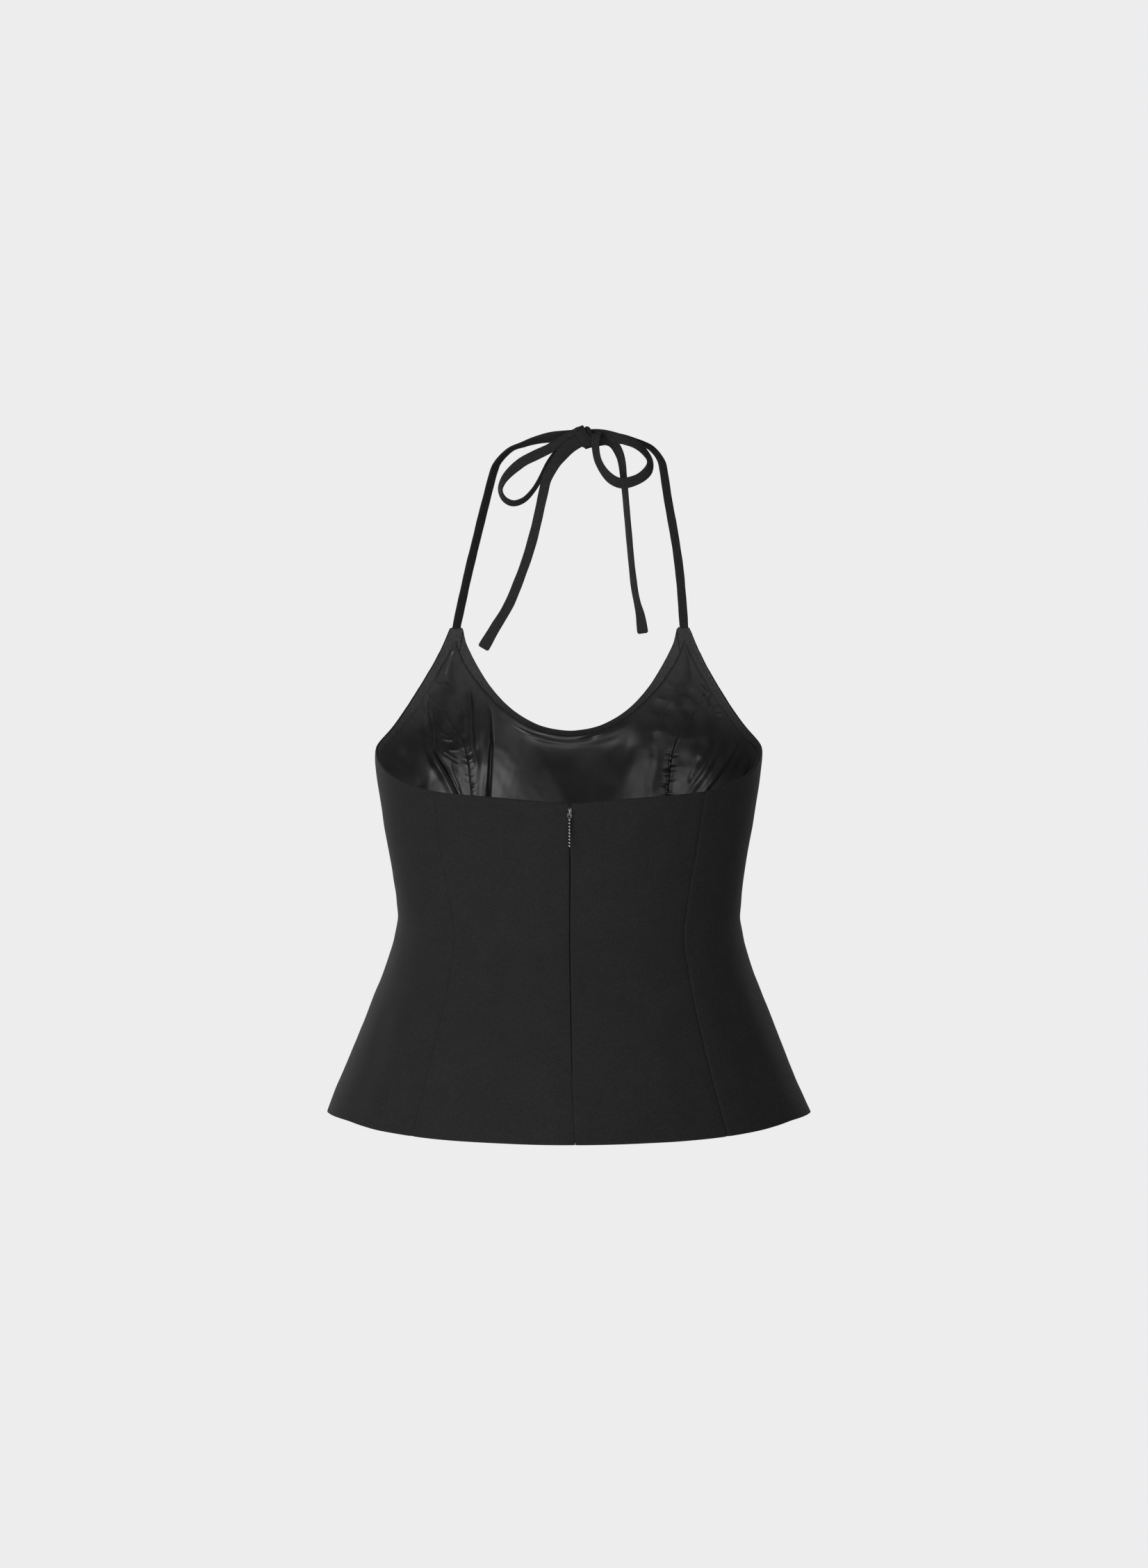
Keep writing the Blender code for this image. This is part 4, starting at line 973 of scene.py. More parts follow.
lining = {
    "spacing": 1.25 * mm,
    "fineAbove": -322.0,        # closer rows over this height
    "wall": 0.4 * mm,
    "inset": 3.0 * mm,          # middle of the wall below the outer face
    "edgeInset": 2.75 * mm,     # where it is sewn to a facing
    "underFacing": 0.25,    # its top edge below the facing's, in mm
    "gap": -0.03,
    # painted shade over the crumpled cups, how much darker at most
    "crumplePaintedShade": 0.4,
    "foldCurve": 0.55,      # how sharply a fold curves where its bottom is darkest
    "cupAt": 42,            # degrees either side of the centre front
    "cupFoot": (-345, -320),        # heights where a cup's crumples begin, and where they are full
    "cupTop": (-275, -225),
    "slackIn": -1.0,        # how sharply a fold curves where its painted shade is darkest
    # seed, size and height of the waves in mm, and how they stretch along x, y and z
    "ripples": ((11, 70, 0.45, (1, 1, 1.5)), (12, 26, 0.11, (1, 1, 1.8)), (13, 9, 0.022)),
    "crumples": ((14, 17, 0.26), (15, 8, 0.03)),
    "panels": {
        "lining_front_side_right": ("sideRight", "frontRight"),
        "lining_front_centre": ("frontRight", "frontLeft"),
        "lining_front_side_left": ("frontLeft", "sideLeft"),
        "lining_back_right": ("centreBack", "sideRight"),
        "lining_back_left": ("sideLeft", "centreBackEnd"),
    },
    "zipSlit": ((-560.5, 0.0), (-529, 0.0), (-512.5, 7.4), (-284.5, 7.4)),
    # kind, lift towards the wearer in mm, width in mm, path of (around, height)
    "creases": (
        # left cup
        ("foldBack", 1.5, 1.7, ((230.8, -221), (229.2, -236), (228.1, -250), (227, -266), (223.2, -281),
                                (218.9, -304), (216, -322))),
        ("trough", 1.1, 0.9, ((229.6, -228), (228.3, -244), (227.4, -262), (224.6, -276), (219.9, -298))),
        ("ridge", 1.5, 3, ((231.7, -218), (231.3, -236), (230, -252), (228.6, -268), (225.2, -284),
                           (221, -305), (219, -322))),
        ("trough", 1.3, 1.1, ((231.8, -206), (234, -216), (236.2, -228))),
        ("ridge", 1, 1.6, ((233.8, -206), (236.2, -216), (238.3, -228))),
        ("ridge", 1, 1.3, ((229.8, -213), (231.6, -221), (230.9, -232))),
        ("fold", 1, 1.3, ((213.9, -204), (212.9, -222), (212.1, -235), (212, -250), (211.1, -266),
                          (210.8, -284))),
        ("trough", 1.3, 0.9, ((213.2, -212), (212.2, -228), (211.8, -244), (211.3, -258), (210.8, -276))),
        ("trough", 1.9, 0.8, ((205, -245), (205.4, -262), (206, -279), (207.2, -300), (208.5, -326))),
        ("ridge", 0.6, 3.6, ((207.6, -240), (208.3, -262), (209, -279), (210.2, -300), (211, -326))),
        ("trough", 0.5, 0.9, ((220.5, -170), (222.2, -175), (224.2, -181))),
        ("trough", 0.5, 1.1, ((221, -172), (218.6, -179), (216.4, -184))),
        ("trough", 0.7, 0.9, ((224.8, -184), (224.2, -191), (224.8, -199))),
        ("ridge", 0.4, 1.3, ((226.4, -184), (225.8, -191), (226.2, -198))),
        ("trough", 1.3, 1.6, ((226, -201), (222, -207), (219, -215), (216.6, -224), (215.8, -232))),
        ("ridge", 0.9, 2.4, ((223.6, -205), (219.6, -212), (217.2, -221), (216, -232))),
        ("trough", 0.8, 0.9, ((229.4, -200), (227.2, -204), (225, -205))),
        ("trough", 0.9, 0.9, ((221.6, -234), (220.9, -238), (219.6, -242))),
        ("trough", 0.6, 0.8, ((226.6, -240), (224.2, -246), (222.6, -250))),
        ("trough", 0.55, 0.7, ((225.6, -246), (223.4, -249.5), (220.6, -251.5))),
        ("trough", 0.55, 0.7, ((224.6, -252.5), (222.2, -254.5), (218.8, -255))),
        ("ridge", 0.3, 2, ((224.2, -255), (221.8, -258), (218.4, -259))),
        ("trough", 0.5, 0.8, ((222, -263), (219, -264.6), (216, -263.8))),
        ("fold", 0.9, 1, ((223.4, -265), (220, -271), (217.2, -275))),
        ("fold", 0.9, 1, ((220.8, -274), (219.8, -285), (218.2, -296), (216.6, -316))),
        ("trough", 0.8, 0.8, ((218.8, -279), (217.7, -292), (215.9, -308), (214.8, -322))),
        ("ridge", 0.6, 3, ((217, -215), (214.8, -228), (214.2, -244), (214.6, -262))),
        ("ridge", 1.3, 6.5, ((246, -256), (241, -270), (237, -284), (234, -300))),
        ("trough", 1, 6, ((236, -240), (234, -256), (231.6, -272), (228, -290))),
        # the front, under the neckline
        ("ridge", 0.5, 4.6, ((194, -248.5), (190, -253), (184, -257), (176, -258), (168.5, -254),
                             (162.5, -246))),
        ("trough", 0.6, 0.9, ((200.5, -238), (193.1, -250.4), (186, -255), (180, -256.8), (174, -254.4),
                              (168.1, -247.6))),
        # right cup
        ("ridge", 0.7, 7, ((160, -238), (162, -258), (165.5, -280), (167.5, -306))),
        ("trough", 1.6, 9, ((156, -246), (149, -248), (141, -247), (134, -244), (127.5, -242))),
        ("ridge", 0.9, 4, ((156, -222), (150, -228), (143, -230), (136, -226))),
        ("ridge", 0.9, 3.5, ((152, -206), (147, -211), (141, -212), (136, -209))),
        ("trough", 0.9, 3, ((153, -214), (149, -219), (143, -219), (138, -216))),
        ("trough", 1.1, 2.2, ((133.4, -213), (131.2, -220), (130.6, -227))),
        ("ridge", 0.9, 3.8, ((126, -250), (128, -266), (131.5, -282), (136, -298), (140, -312))),
        ("trough", 0.4, 2.6, ((128.2, -250), (130.8, -266), (134, -282), (138, -296))),
        ("ridge", 0.6, 2.8, ((134.5, -268), (136.4, -280), (138, -294))),
        ("trough", 2.7, 0.9, ((114.8, -252), (117.4, -263), (120.6, -273), (124.4, -285), (128.7, -297),
                              (133, -312))),
        ("ridge", 0.7, 3.6, ((118.6, -254), (121.4, -266), (125.6, -280), (131, -297), (135.2, -312))),
        ("ridge", 0.6, 3.6, ((111.2, -255), (114.8, -266), (118.6, -279), (125, -298))),
        ("trough", 1.2, 0.9, ((134.4, -204), (131.8, -209), (129.6, -215), (130.4, -220))),
        ("ridge", 0.8, 1.2, ((132.2, -212), (130.2, -213), (127.8, -212))),
        ("ridge", 0.7, 1.1, ((129.4, -222), (127.4, -222.6), (125.4, -222))),
        ("ridge", 0.7, 1.1, ((128.4, -227), (126.4, -228), (124.6, -227.5))),
        ("ridge", 0.7, 1.1, ((127.4, -232.5), (125.6, -233), (123.8, -232.5))),
        ("fold", 0.6, 1.4, ((150, -199), (147.6, -203), (146, -209))),
        ("ridge", 0.6, 5, ((154.6, -258), (151.4, -270), (151.2, -284), (153.4, -306))),
        ("fold", 0.7, 1.3, ((104, -262), (106, -272), (109, -284))),
        # lower front and back, out of sight from behind
        ("ridge", 1.5, 5, ((152, -330), (150, -360), (151, -395), (148, -430))),
        ("fold", 1.1, 2.2, ((213, -330), (212, -352), (210.5, -380), (211, -410))),
        ("trough", 1, 4, ((176, -350), (178, -380), (176, -410))),
        ("ridge", 1.4, 5.5, ((194, -340), (192, -375), (193, -410), (190, -450))),
        ("fold", 1, 2, ((121, -320), (124, -348), (125, -380))),
        ("fold", 1, 2, ((241, -316), (238, -345), (237, -378))),
        ("ridge", 1.3, 5, ((105, -400), (104, -440), (106, -480), (104, -525))),
        ("ridge", 1.3, 5, ((251, -405), (252, -450), (250, -500))),
        ("ridge", 1.2, 4.5, ((168, -440), (170, -480), (168, -525))),
        ("ridge", 1.3, 4.5, ((30, -300), (28, -340), (30, -380), (27, -430))),
        ("fold", 1, 2, ((58, -296), (56, -325), (57, -360), (55, -395))),
        ("trough", 1, 4, ((72, -320), (70, -360), (72, -400))),
        ("ridge", 1.3, 4.5, ((331, -300), (333, -345), (331, -390), (334, -440))),
        ("fold", 1, 2, ((303, -298), (305, -330), (303, -362), (305, -400))),
        ("ridge", 1.2, 5, ((45, -430), (46, -470), (44, -520))),
        ("ridge", 1.2, 5, ((317, -430), (315, -475), (317, -522))),
    ),
    # A slack fold that stands up at one line and slopes down to another. In mm, how wide it drops on the far
    # side, then rows of height, around at the high side, around at the low side, lift in mm
    "slopes": (
        (1.7, ((-225, 206, 200, 0), (-238, 205.2, 197.2, 1.9), (-250, 205.1, 193.2, 3.4),
               (-272, 205.8, 188.3, 4.6), (-300, 207.2, 182.9, 5.6), (-330, 208.6, 177.5, 4.8),
               (-370, 209, 172, 0))),
        (22, ((-232, 153, 160, 0), (-245, 153, 161.8, 1.5), (-275, 153, 164.2, 2.6),
              (-305, 153, 166.6, 3.2), (-335, 153, 168.5, 2.6), (-370, 153, 171, 0))),
    ),
    # seam: from and to height, amount in mm, reach in mm, lean, pitch in mm
    "gathers": {
        "frontLeft": ((-222, -330, 0.5, 3.4, 0.45, 6.3),),
        "frontRight": ((-264, -330, 1, 3.8, 0.1, 5), (-205, -262, 0.2, 3, 0.2, 5)),
        "sideRight": ((-262, -540, 0.35, 5, 0.3, 7),),
        "sideLeft": ((-262, -540, 0.35, 5, 0.3, 7),),
        "backRight": ((-290, -540, 0.3, 5, 0.3, 7),),
        "backLeft": ((-290, -540, 0.3, 5, 0.3, 7),),
    },
}


def slopeLift(around, height, drop, rows):
    rows = sorted(rows)
    high, low, amount = (curveThrough(rows, column)(height) for column in (1, 2, 3))
    share = (around - low) / (high - low)
    past = (share - 1) * np.abs(high - low) * 2.4      # in mm beyond the high line
    rise = 0.5 * (share + np.sqrt(share ** 2 + 0.004))
    return amount * np.where(past > 0, 1 - ease(past, 0, drop), np.minimum(rise, 1.0))


def paintedFoldShade(grid, lift):
    # Painted shade: 1 in the bottom of a sharp fold and 0 on open cloth, from how the lift in mm curves
    total = np.zeros_like(lift)
    for axis in (0, 1):
        step = np.linalg.norm(np.gradient(grid, axis=axis), axis=-1) / mm
        total += np.gradient(np.gradient(lift, axis=axis), axis=axis) / np.maximum(step, 0.3) ** 2
    return np.clip(total / lining["foldCurve"], 0, 1)


def edgeWaves(around, height, below):
    # The lining is eased onto the facing, so it ripples just under the seam
    run = around * 2.6
    waves = np.sin(run / 2.9 + height / 4.0) + 0.8 * np.sin(run / 5.3 + 1.3)
    swell = 0.35 + 0.65 * np.sin(run / 23.0 + 0.6) ** 2
    return 0.09 * waves * swell * np.exp(-((below - 3.0) / 3.4) ** 2)


def liningTopAt(around):
    return facingEdgeAt(around) - lining["underFacing"]


def gatherLift(around, height):
    # The seams lie low, with gathers along them
    lift = np.zeros(around.size)
    for seam, stretches in lining["gathers"].items():
        place = seamPlaces[seam](height)
        across = (around - place) * degreeLength(place, height) / mm
        if np.abs(across).min() > 40:
            continue
        lift -= 0.9 * np.exp(-(across / 0.9) ** 2)
        for seed, (high, low, *more) in enumerate(stretches):
            within = (height < high) & (height > low)
            lift += puckers(across, high - height, high - low, 20 + seed, *more) * within
    return lift


def makeLining():
    for name in lining["panels"]:
        left, right = panelEdges(lining, name, lining["zipSlit"], lining["zipSlit"])
        front = "front" in name
        spacing = lining["spacing"] * (1 if front else 2.2)
        fineAbove = lining["fineAbove"] if front else None
        around, height = panelPlaces(left, right, edges["liningHem"], liningTopAt, spacing, fineAbove)
        base, normals = formPoint(around, height), formNormal(around, height)
        flat, flatNormals = base.reshape(-1, 3), normals.reshape(-1, 3)
        ringAround, ringHeight = around.ravel(), height.ravel()
        stride = formPoint(ringAround + 1, ringHeight) - formPoint(ringAround - 1, ringHeight)
        rise = facingEdgeAt(ringAround + 1) - facingEdgeAt(ringAround - 1)
        slant = rise * mm / np.linalg.norm(stride, axis=-1)
        below = (facingEdgeAt(ringAround) - ringHeight) / np.hypot(1, slant)
        lift = creaseLift(flat, flatNormals, lining["creases"])
        for drop, rows in lining["slopes"]:
            lift += slopeLift(ringAround, ringHeight, drop, rows)
        lift += ripples(flat, lining["ripples"])
        # The cups are the most crumpled
        cups = np.exp(-((np.abs(ringAround - 180) - lining["cupAt"]) / 16) ** 2)
        cups *= ease(ringHeight, *lining["cupFoot"])
        cups *= 0.45 + 0.55 * ease(ringHeight, *lining["cupTop"])
        crumple = cups * ease(below, 3, 14)
        lift += crumple * ripples(flat, lining["crumples"])
        lift += gatherLift(ringAround, ringHeight)
        lift += edgeWaves(ringAround, ringHeight, below)
        lift *= 0.15 + 0.85 * ease(below, 0, 7.0)
        # It can't sink into the outer cloth, and lies softly on it
        stop = lining["slackIn"]
        lift = np.where(lift < stop, stop - 0.35 * np.tanh((stop - lift) / 0.7), lift)
        inset = lining["edgeInset"] + (lining["inset"] - lining["edgeInset"]) * ease(below, 0, 8)
        grid = (flat - flatNormals * (inset + lift * mm)[:, None]).reshape(base.shape)
        # Painted shade for the satin: patchy darkening over the crumpled cups, a dark line just under the
        # facing's edge, and the bottoms of sharp folds
        crumple = crumple * (0.5 + 0.5 * np.tanh(1.3 * ripple(flat, 16, 15, 1.0, (1, 1, 1.5))))
        shade = lining["crumplePaintedShade"] * crumple + 0.9 * np.exp(-(below / 1.3) ** 2)
        depth = paintedFoldShade(grid, lift.reshape(around.shape)) + shade.reshape(around.shape)
        item = clothPiece(name, grid, lining["wall"], "satin", rimSteps=1, depth=np.clip(depth, 0, 1))
    print("lining")


makeLining()

# Facings

facings = {
    "wall": 0.9 * mm,
    "inset": 2.5 * mm,
    "endTurn": 126,         # degrees, where a facing meets the turn of the outer cloth
    "ripples": ((31, 14, 0.10), (32, 45, 0.18)),
    "rows": 7,
    "spacing": 1.5 * mm,
    "stitchIn": 1.0,        # understitching, from the lower edge, in mm
    "pieces": {
        "facing_armhole_right": (76.0, 140.1),
        "facing_neckline": (140.5, 219.5),
        "facing_armhole_left": (219.9, 284.0),
    },
}


def makeFacings():
    for name, (start, end) in facings["pieces"].items():
        fine = np.linspace(start, end, 1200)
        run = np.linalg.norm(np.diff(formPoint(fine, foldEdgeAt(fine)), axis=0), axis=-1)
        run = np.concatenate([[0], np.cumsum(run)])
        places = np.interp(np.linspace(0, run[-1], math.ceil(run[-1] / facings["spacing"]) + 1), run, fine)
        half = facings["wall"] / 2 / mm
        low, high = facingEdgeAt(places), foldEdgeAt(places)
        bottom = np.minimum(low + half + 0.1, high - 0.4)
        share = np.linspace(0, 1, facings["rows"])
        height = bottom[:, None] + (high - bottom)[:, None] * share[None]
        around = np.broadcast_to(places[:, None], height.shape)
        base, normals = formPoint(around, height), formNormal(around, height)
        flat = base.reshape(-1, 3)
        lift = ripples(flat, facings["ripples"]).reshape(around.shape) * (1 - share[None] ** 2)
        grid = base - normals * (facings["inset"] + lift * mm)[..., None]
        outer = base[:, -1:] - normals[:, -1:] * shell["wall"] / 2
        turn = np.radians(np.linspace(180, facings["endTurn"], 5))
        grid = np.concatenate([grid[:, :-1], turnedEdge(outer, normals[:, -1], turn)], 1)
        clothPiece(name, grid, facings["wall"], "inner")
        width = np.linalg.norm(base[:, -1] - base[:, 0], axis=-1) / mm
        stitchAt = bottom + (high - bottom) * np.clip(facings["stitchIn"] / np.maximum(width, 0.1), 0, 0.9)
        outside = facings["inset"] + facings["wall"] / 2 + 0.05 * mm
        stitchPaths["facing"].append(onLayer(places, stitchAt, np.full_like(places, outside))[2:-2])
    print("facings")


makeFacings()

# Knot: the tie wraps once round the crossing ties

knot = {
    "centre": (12.6, -4.5, -1.0),
    "slant": -24.0,
    "wrapWidth": 9.6,
    "wrapAside": -1.2,      # its middle along the knot, and how far it tilts
    "wrapTilt": -1.8,
    "wrapDepth": 5.2,       # half, front to back
    "wrapHeight": 8.4,      # half
    "wrapTurn": (-150, 200),    # degrees; 0 is in front and 90 on top
    "wrapSquare": 2.8,      # 2 is an ellipse, more is squarer
    "thickness": 1.5,
    "coreDepth": 4.3,       # half
    "coreHeight": 7.3,      # half
    "coreSquare": 2.6,
    "coreAlong": (-6.4, 6.6),
    "coreEnd": 6.9,         # where its rounded ends would close
}


def knotFrame():
    slant = math.radians(knot["slant"])
    up = np.array([math.sin(slant), 0, math.cos(slant)])
    side = np.array([math.cos(slant), 0, -math.sin(slant)])
    return np.array(knot["centre"]) * mm, side, np.array([0, -1.0, 0]), up


def roundSquare(angle, depth, height, power):
    radial = (abs(math.cos(angle)) / depth) ** power + (abs(math.sin(angle)) / height) ** power
    return (1 / radial) ** (1 / power)


def wrapBand(name):
    # A strip of tie bent round the knot
    centre, side, front, up = knotFrame()
    phase = np.random.default_rng(5).uniform(0, 6.28, 4)
    depth, height = knot["wrapDepth"], knot["wrapHeight"]
    shareX, shareY = tieProfile()
    rings = []
    for angle in np.radians(np.linspace(*knot["wrapTurn"], 64)):
        c, s = math.cos(angle), math.sin(angle)
        out = unit(front * c * depth + up * s * height)
        reach = roundSquare(angle, depth, height, knot["wrapSquare"])
        reach *= 1 + 0.025 * math.sin(3 * angle + phase[0])
        sway = knot["wrapAside"] + knot["wrapTilt"] * s + 0.35 * math.sin(2 * angle + phase[1])
        half = knot["wrapWidth"] / 2 * (1 + 0.05 * math.sin(2 * angle + phase[2]))
        crown = 0.55 * (1 - shareX ** 2) + 0.18 * np.sin(shareX * 5 + phase[3] + angle)
        rings.append((centre + (side * sway + front * c * reach + up * s * reach) * mm)[None]
                     + side[None] * (half * mm * shareX)[:, None]
                     + out[None] * ((knot["thickness"] / 2 * shareY + crown) * mm)[:, None])
    rings = np.array(rings)
    count, around = rings.shape[:2]
    uv = ringLengths(count, around, np.cumsum(np.full(around, ties["uvStep"])), np.linspace(0, 0.05, count))
    for groove in (-ties["groove"], ties["groove"]):
        line = int(np.argmin(np.abs(shareX - groove) + (shareY < 0)))
        stitchPaths["edge"].append(rings[6:-6, line])
    return meshFrom(name, rings, ringFaces(count, around, flipped=True), uv)


def knotCore(name):
    # The ties pressed together inside the wrap
    centre, side, front, up = knotFrame()
    turns, steps = 40, 26
    rings = []
    for along in np.linspace(*knot["coreAlong"], steps):
        squeeze = 1 - 0.10 * math.exp(-(along / 3.0) ** 2)
        end = math.sqrt(max(1 - (abs(along) / knot["coreEnd"]) ** 6, 0.02))
        ring = []
        for turn in np.linspace(0, 2 * math.pi, turns, endpoint=False):
            c, s = math.cos(turn), math.sin(turn)
            reach = roundSquare(turn, knot["coreDepth"], knot["coreHeight"], knot["coreSquare"])
            lumps = 0.05 * math.sin(5 * turn + along * 0.5) + 0.03 * math.sin(9 * turn - along)
            reach *= squeeze * end * (1 + lumps)
            ring.append(centre + (side * along + front * c * reach + up * s * reach) * mm)
        rings.append(ring)
    uv = ringLengths(steps, turns, np.linspace(0, 0.04, turns), np.linspace(0, 0.016, steps))
    return meshFrom(name, rings, ringFaces(steps, turns, flipped=True), uv)


for name, make in (("knot_core", knotCore), ("knot_wrap", wrapBand)):
    dress(addObject(name, make(name)), "crepe", "knot")
print("knot")

# What repeats along a path: stitches, coil teeth and beads


def pathMesh(name, paths):
    points, links = [], []
    for path in paths:
        start = len(points)
        points += [tuple(point) for point in np.asarray(path)]
        links += [(start + step, start + step + 1) for step in range(len(path) - 1)]
    mesh = bpy.data.meshes.new(name)
    mesh.from_pydata(points, links, [])
    return mesh


def alongTree(name, material, segments, rings):
    # Small ovals at even steps along every path
    tree = bpy.data.node_groups.new(name, "GeometryNodeTree")
    tree.interface.new_socket("Geometry", in_out="INPUT", socket_type="NodeSocketGeometry")
    for label in ("Step", "Oval length", "Oval width", "Oval height"):
        socket = tree.interface.new_socket(label, in_out="INPUT", socket_type="NodeSocketFloat")
        socket.default_value = 1 * mm
    tree.interface.new_socket("Geometry", in_out="OUTPUT", socket_type="NodeSocketGeometry")
    given = tree.nodes.new("NodeGroupInput").outputs
    curve = addNode(tree, "GeometryNodeMeshToCurve", Mesh=given["Geometry"])
    spread = addNode(tree, "GeometryNodeCurveToPoints", {"mode": "LENGTH"}, Curve=curve.outputs["Curve"],
                     Length=given["Step"])
    oval = addNode(tree, "GeometryNodeMeshUVSphere", Segments=segments, Rings=rings, Radius=0.5)
    size = addNode(tree, "ShaderNodeCombineXYZ", X=given["Oval width"], Y=given["Oval height"],
                   Z=given["Oval length"])
    place = addNode(tree, "GeometryNodeInstanceOnPoints", Points=spread.outputs["Points"],
                    Instance=oval.outputs["Mesh"], Rotation=spread.outputs["Rotation"],
                    Scale=size.outputs["Vector"])
    real = addNode(tree, "GeometryNodeRealizeInstances", Geometry=place.outputs["Instances"])
    shade = addNode(tree, "GeometryNodeSetShadeSmooth", Geometry=real.outputs["Geometry"], Shade_Smooth=True)
    look = addNode(tree, "GeometryNodeSetMaterial", Geometry=shade.outputs["Geometry"], Material=material)
    tree.links.new(look.outputs["Geometry"], tree.nodes.new("NodeGroupOutput").inputs["Geometry"])
    return tree


def repeatAlong(name, paths, tree, step, length, width, height):
    item = addObject(name, pathMesh(name + "_path", paths))
    modifier = item.modifiers.new("repeat", "NODES")
    modifier.node_group = tree
    sizes = {"Step": step, "Oval length": length, "Oval width": width, "Oval height": height}
    for socket in tree.interface.items_tree:
        if socket.in_out == "INPUT" and socket.name in sizes:
            modifier[socket.identifier] = sizes[socket.name]
    graph = bpy.context.evaluated_depsgraph_get()
    mesh = bpy.data.meshes.new_from_object(item.evaluated_get(graph))
    mesh.name = name
    item.modifiers.remove(modifier)
    item.data = mesh
    return item


stitches = {"step": 2.3 * mm, "length": 1.6 * mm, "width": 0.24 * mm, "height": 0.2 * mm}
stitchTree = alongTree("stitchRun", finish["thread"], 5, 4)
for kind, paths in stitchPaths.items():
    dress(repeatAlong(kind + "_stitches", paths, stitchTree, **stitches), "thread")
print("stitches")

# Zip: tapes, coil, slider and pull

zipper = {
    "top": -304.0,
    "end": -508.0,
    "tapeFromMiddle": 0.22 * mm,    # the tapes' round edges meet, so the closed zip passes no light
    "tapeWidth": 6.6 * mm,
    "tapeInset": 2.7 * mm,
    "tapeWall": 0.55 * mm,
    "coilInset": 1.75 * mm,
    "coilFromMiddle": 0.62 * mm,
    "coilShows": (-392, -350),      # heights where the right row of the coil comes into view in the opening
    "coilAside": 0.45 * mm,     # how far it stands aside there
    "coilOut": 0.75 * mm,       # and out
    "pitch": 0.95 * mm,
    "tooth": (0.62 * mm, 1.05 * mm, 0.9 * mm),      # length, width and height
    "pivot": np.array((0.0, -38.5, -299.0)) * mm,
}


def zipLine(top, end, steps):
    # Heights down the zip, its middle line there, and how many metres a degree is
    height = np.linspace(top, end, steps)
    middle = centreLeanAt(height)
    return height, middle, degreeLength(middle, height)


def makeTapes():
    for side, word in ((1, "right"), (-1, "left")):
        height, middle, metres = zipLine(zipper["end"], zipper["top"], 110)
        inset = np.full_like(height, zipper["tapeInset"])
        columns = [onLayer(middle + side * distance / metres, height, inset)
                   for distance in np.linspace(zipper["tapeFromMiddle"], zipper["tapeWidth"], 9)]
        grid = np.stack(columns[::side], 0)
        mesh = clothWall("zip_tape_%s_weave" % word, grid, zipper["tapeWall"], rimSteps=2)
        item = dress(addObject("zip_tape_%s_weave" % word, mesh), "tape", "zip_tape_" + word)


def makeCoil():
    tree = alongTree("coilRun", finish["coil"], 8, 6)
    for side, word in ((1, "right"), (-1, "left")):
        shift = 0 if side > 0 else zipper["pitch"] / mm / 2
        height, middle, metres = zipLine(zipper["top"] - 0.6 - shift, zipper["end"] + 1.0, 200)
        shows = ease(height, *zipper["coilShows"])
        away = zipper["coilFromMiddle"] + (shows * zipper["coilAside"] if side > 0 else 0)
        inset = zipper["coilInset"] - zipper["coilOut"] * shows * (1 if side > 0 else 0.3)
        path = onLayer(middle + side * away / metres, height, inset)
        dress(repeatAlong("zip_coil_" + word, [path], tree, zipper["pitch"], *zipper["tooth"]), "coil")


def tube(path, radius, sides=12, closed=False):
    # A round wire along a path in metres
    ahead = unit((np.roll(path, -1, 0) - np.roll(path, 1, 0)) if closed else np.gradient(path, axis=0))
    guide = np.array([1.0, 0, 0]) if abs(ahead[:, 0]).max() < 0.9 else np.array([0, 1.0, 0])
    first = unit(np.cross(ahead, guide))
    second = np.cross(ahead, first)
    turn = np.linspace(0, 2 * math.pi, sides, endpoint=False)[None, :, None]
    rings = path[:, None] + radius * (first[:, None] * np.cos(turn) + second[:, None] * np.sin(turn))
    count = len(path)
    faces = ringFaces(count, sides)
    if closed:      # the last ring joins the first, in place of the ends
        last, first = (np.arange(sides) + start for start in ((count - 1) * sides, 0))
        faces = faces[:-2] + np.stack([last, np.roll(last, -1), np.roll(first, -1), first], -1).tolist()
    return rings.reshape(-1, 3), faces


def joinParts(name, parts):
    points, faces = [], []
    for part, partFaces in parts:
        start = sum(len(block) for block in points)
        points.append(part)
        faces += [[start + corner for corner in face] for face in partFaces]
    return meshFrom(name, np.concatenate(points), faces)


def roundedBlock(size, centre, power=5.0, turns=32, rows=17):
    # A block with soft corners, closed at its poles
    points = []
    for row in np.linspace(-math.pi / 2, math.pi / 2, rows)[1:-1]:
        for turn in np.linspace(0, 2 * math.pi, turns, endpoint=False):
            way = np.array([math.cos(row) * math.cos(turn), math.cos(row) * math.sin(turn), math.sin(row)])
            reach = (np.abs(way) ** power).sum() ** (-1 / power)
            points.append(way * reach * np.asarray(size) / 2 + np.asarray(centre))
    return np.array(points), ringFaces(rows - 2, turns)


slider = {
    "width": 5.0,
    "depth": 2.4,
    "height": 7.6,
    "bridge": 0.55,         # half the thickness of its wire
    "bridgeOut": (-0.2, -1.05, -1.15, -0.3),        # from the pivot, between its two ends
    "bridgeUp": (-1.6, -1.25, -0.2, 1.6, 2.9, 3.3),
}


def makeSlider():
    pivot = zipper["pivot"]
    depth = slider["depth"] * mm
    centre = (0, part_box("zip_slider")[1].y - depth / 2, pivot[2] - 0.3 * mm)
    body = roundedBlock((slider["width"] * mm, depth, slider["height"] * mm), centre)
    # The bridge arches out through the opening and back
    inner = (centre[1] - depth / 2 + 0.5 * mm) / mm
    outs = (inner, *(pivot[1] / mm + out for out in slider["bridgeOut"]), inner)
    arch = [(0, out, pivot[2] / mm + up) for out, up in zip(outs, slider["bridgeUp"])]
    bridge = tube(smoothPath(arch, 8) * mm, slider["bridge"] * mm)
    item = addObject("zip_slider_metal", joinParts("zip_slider_metal", [body, bridge]))
    dress(item, "gunmetal", "zip_slider")


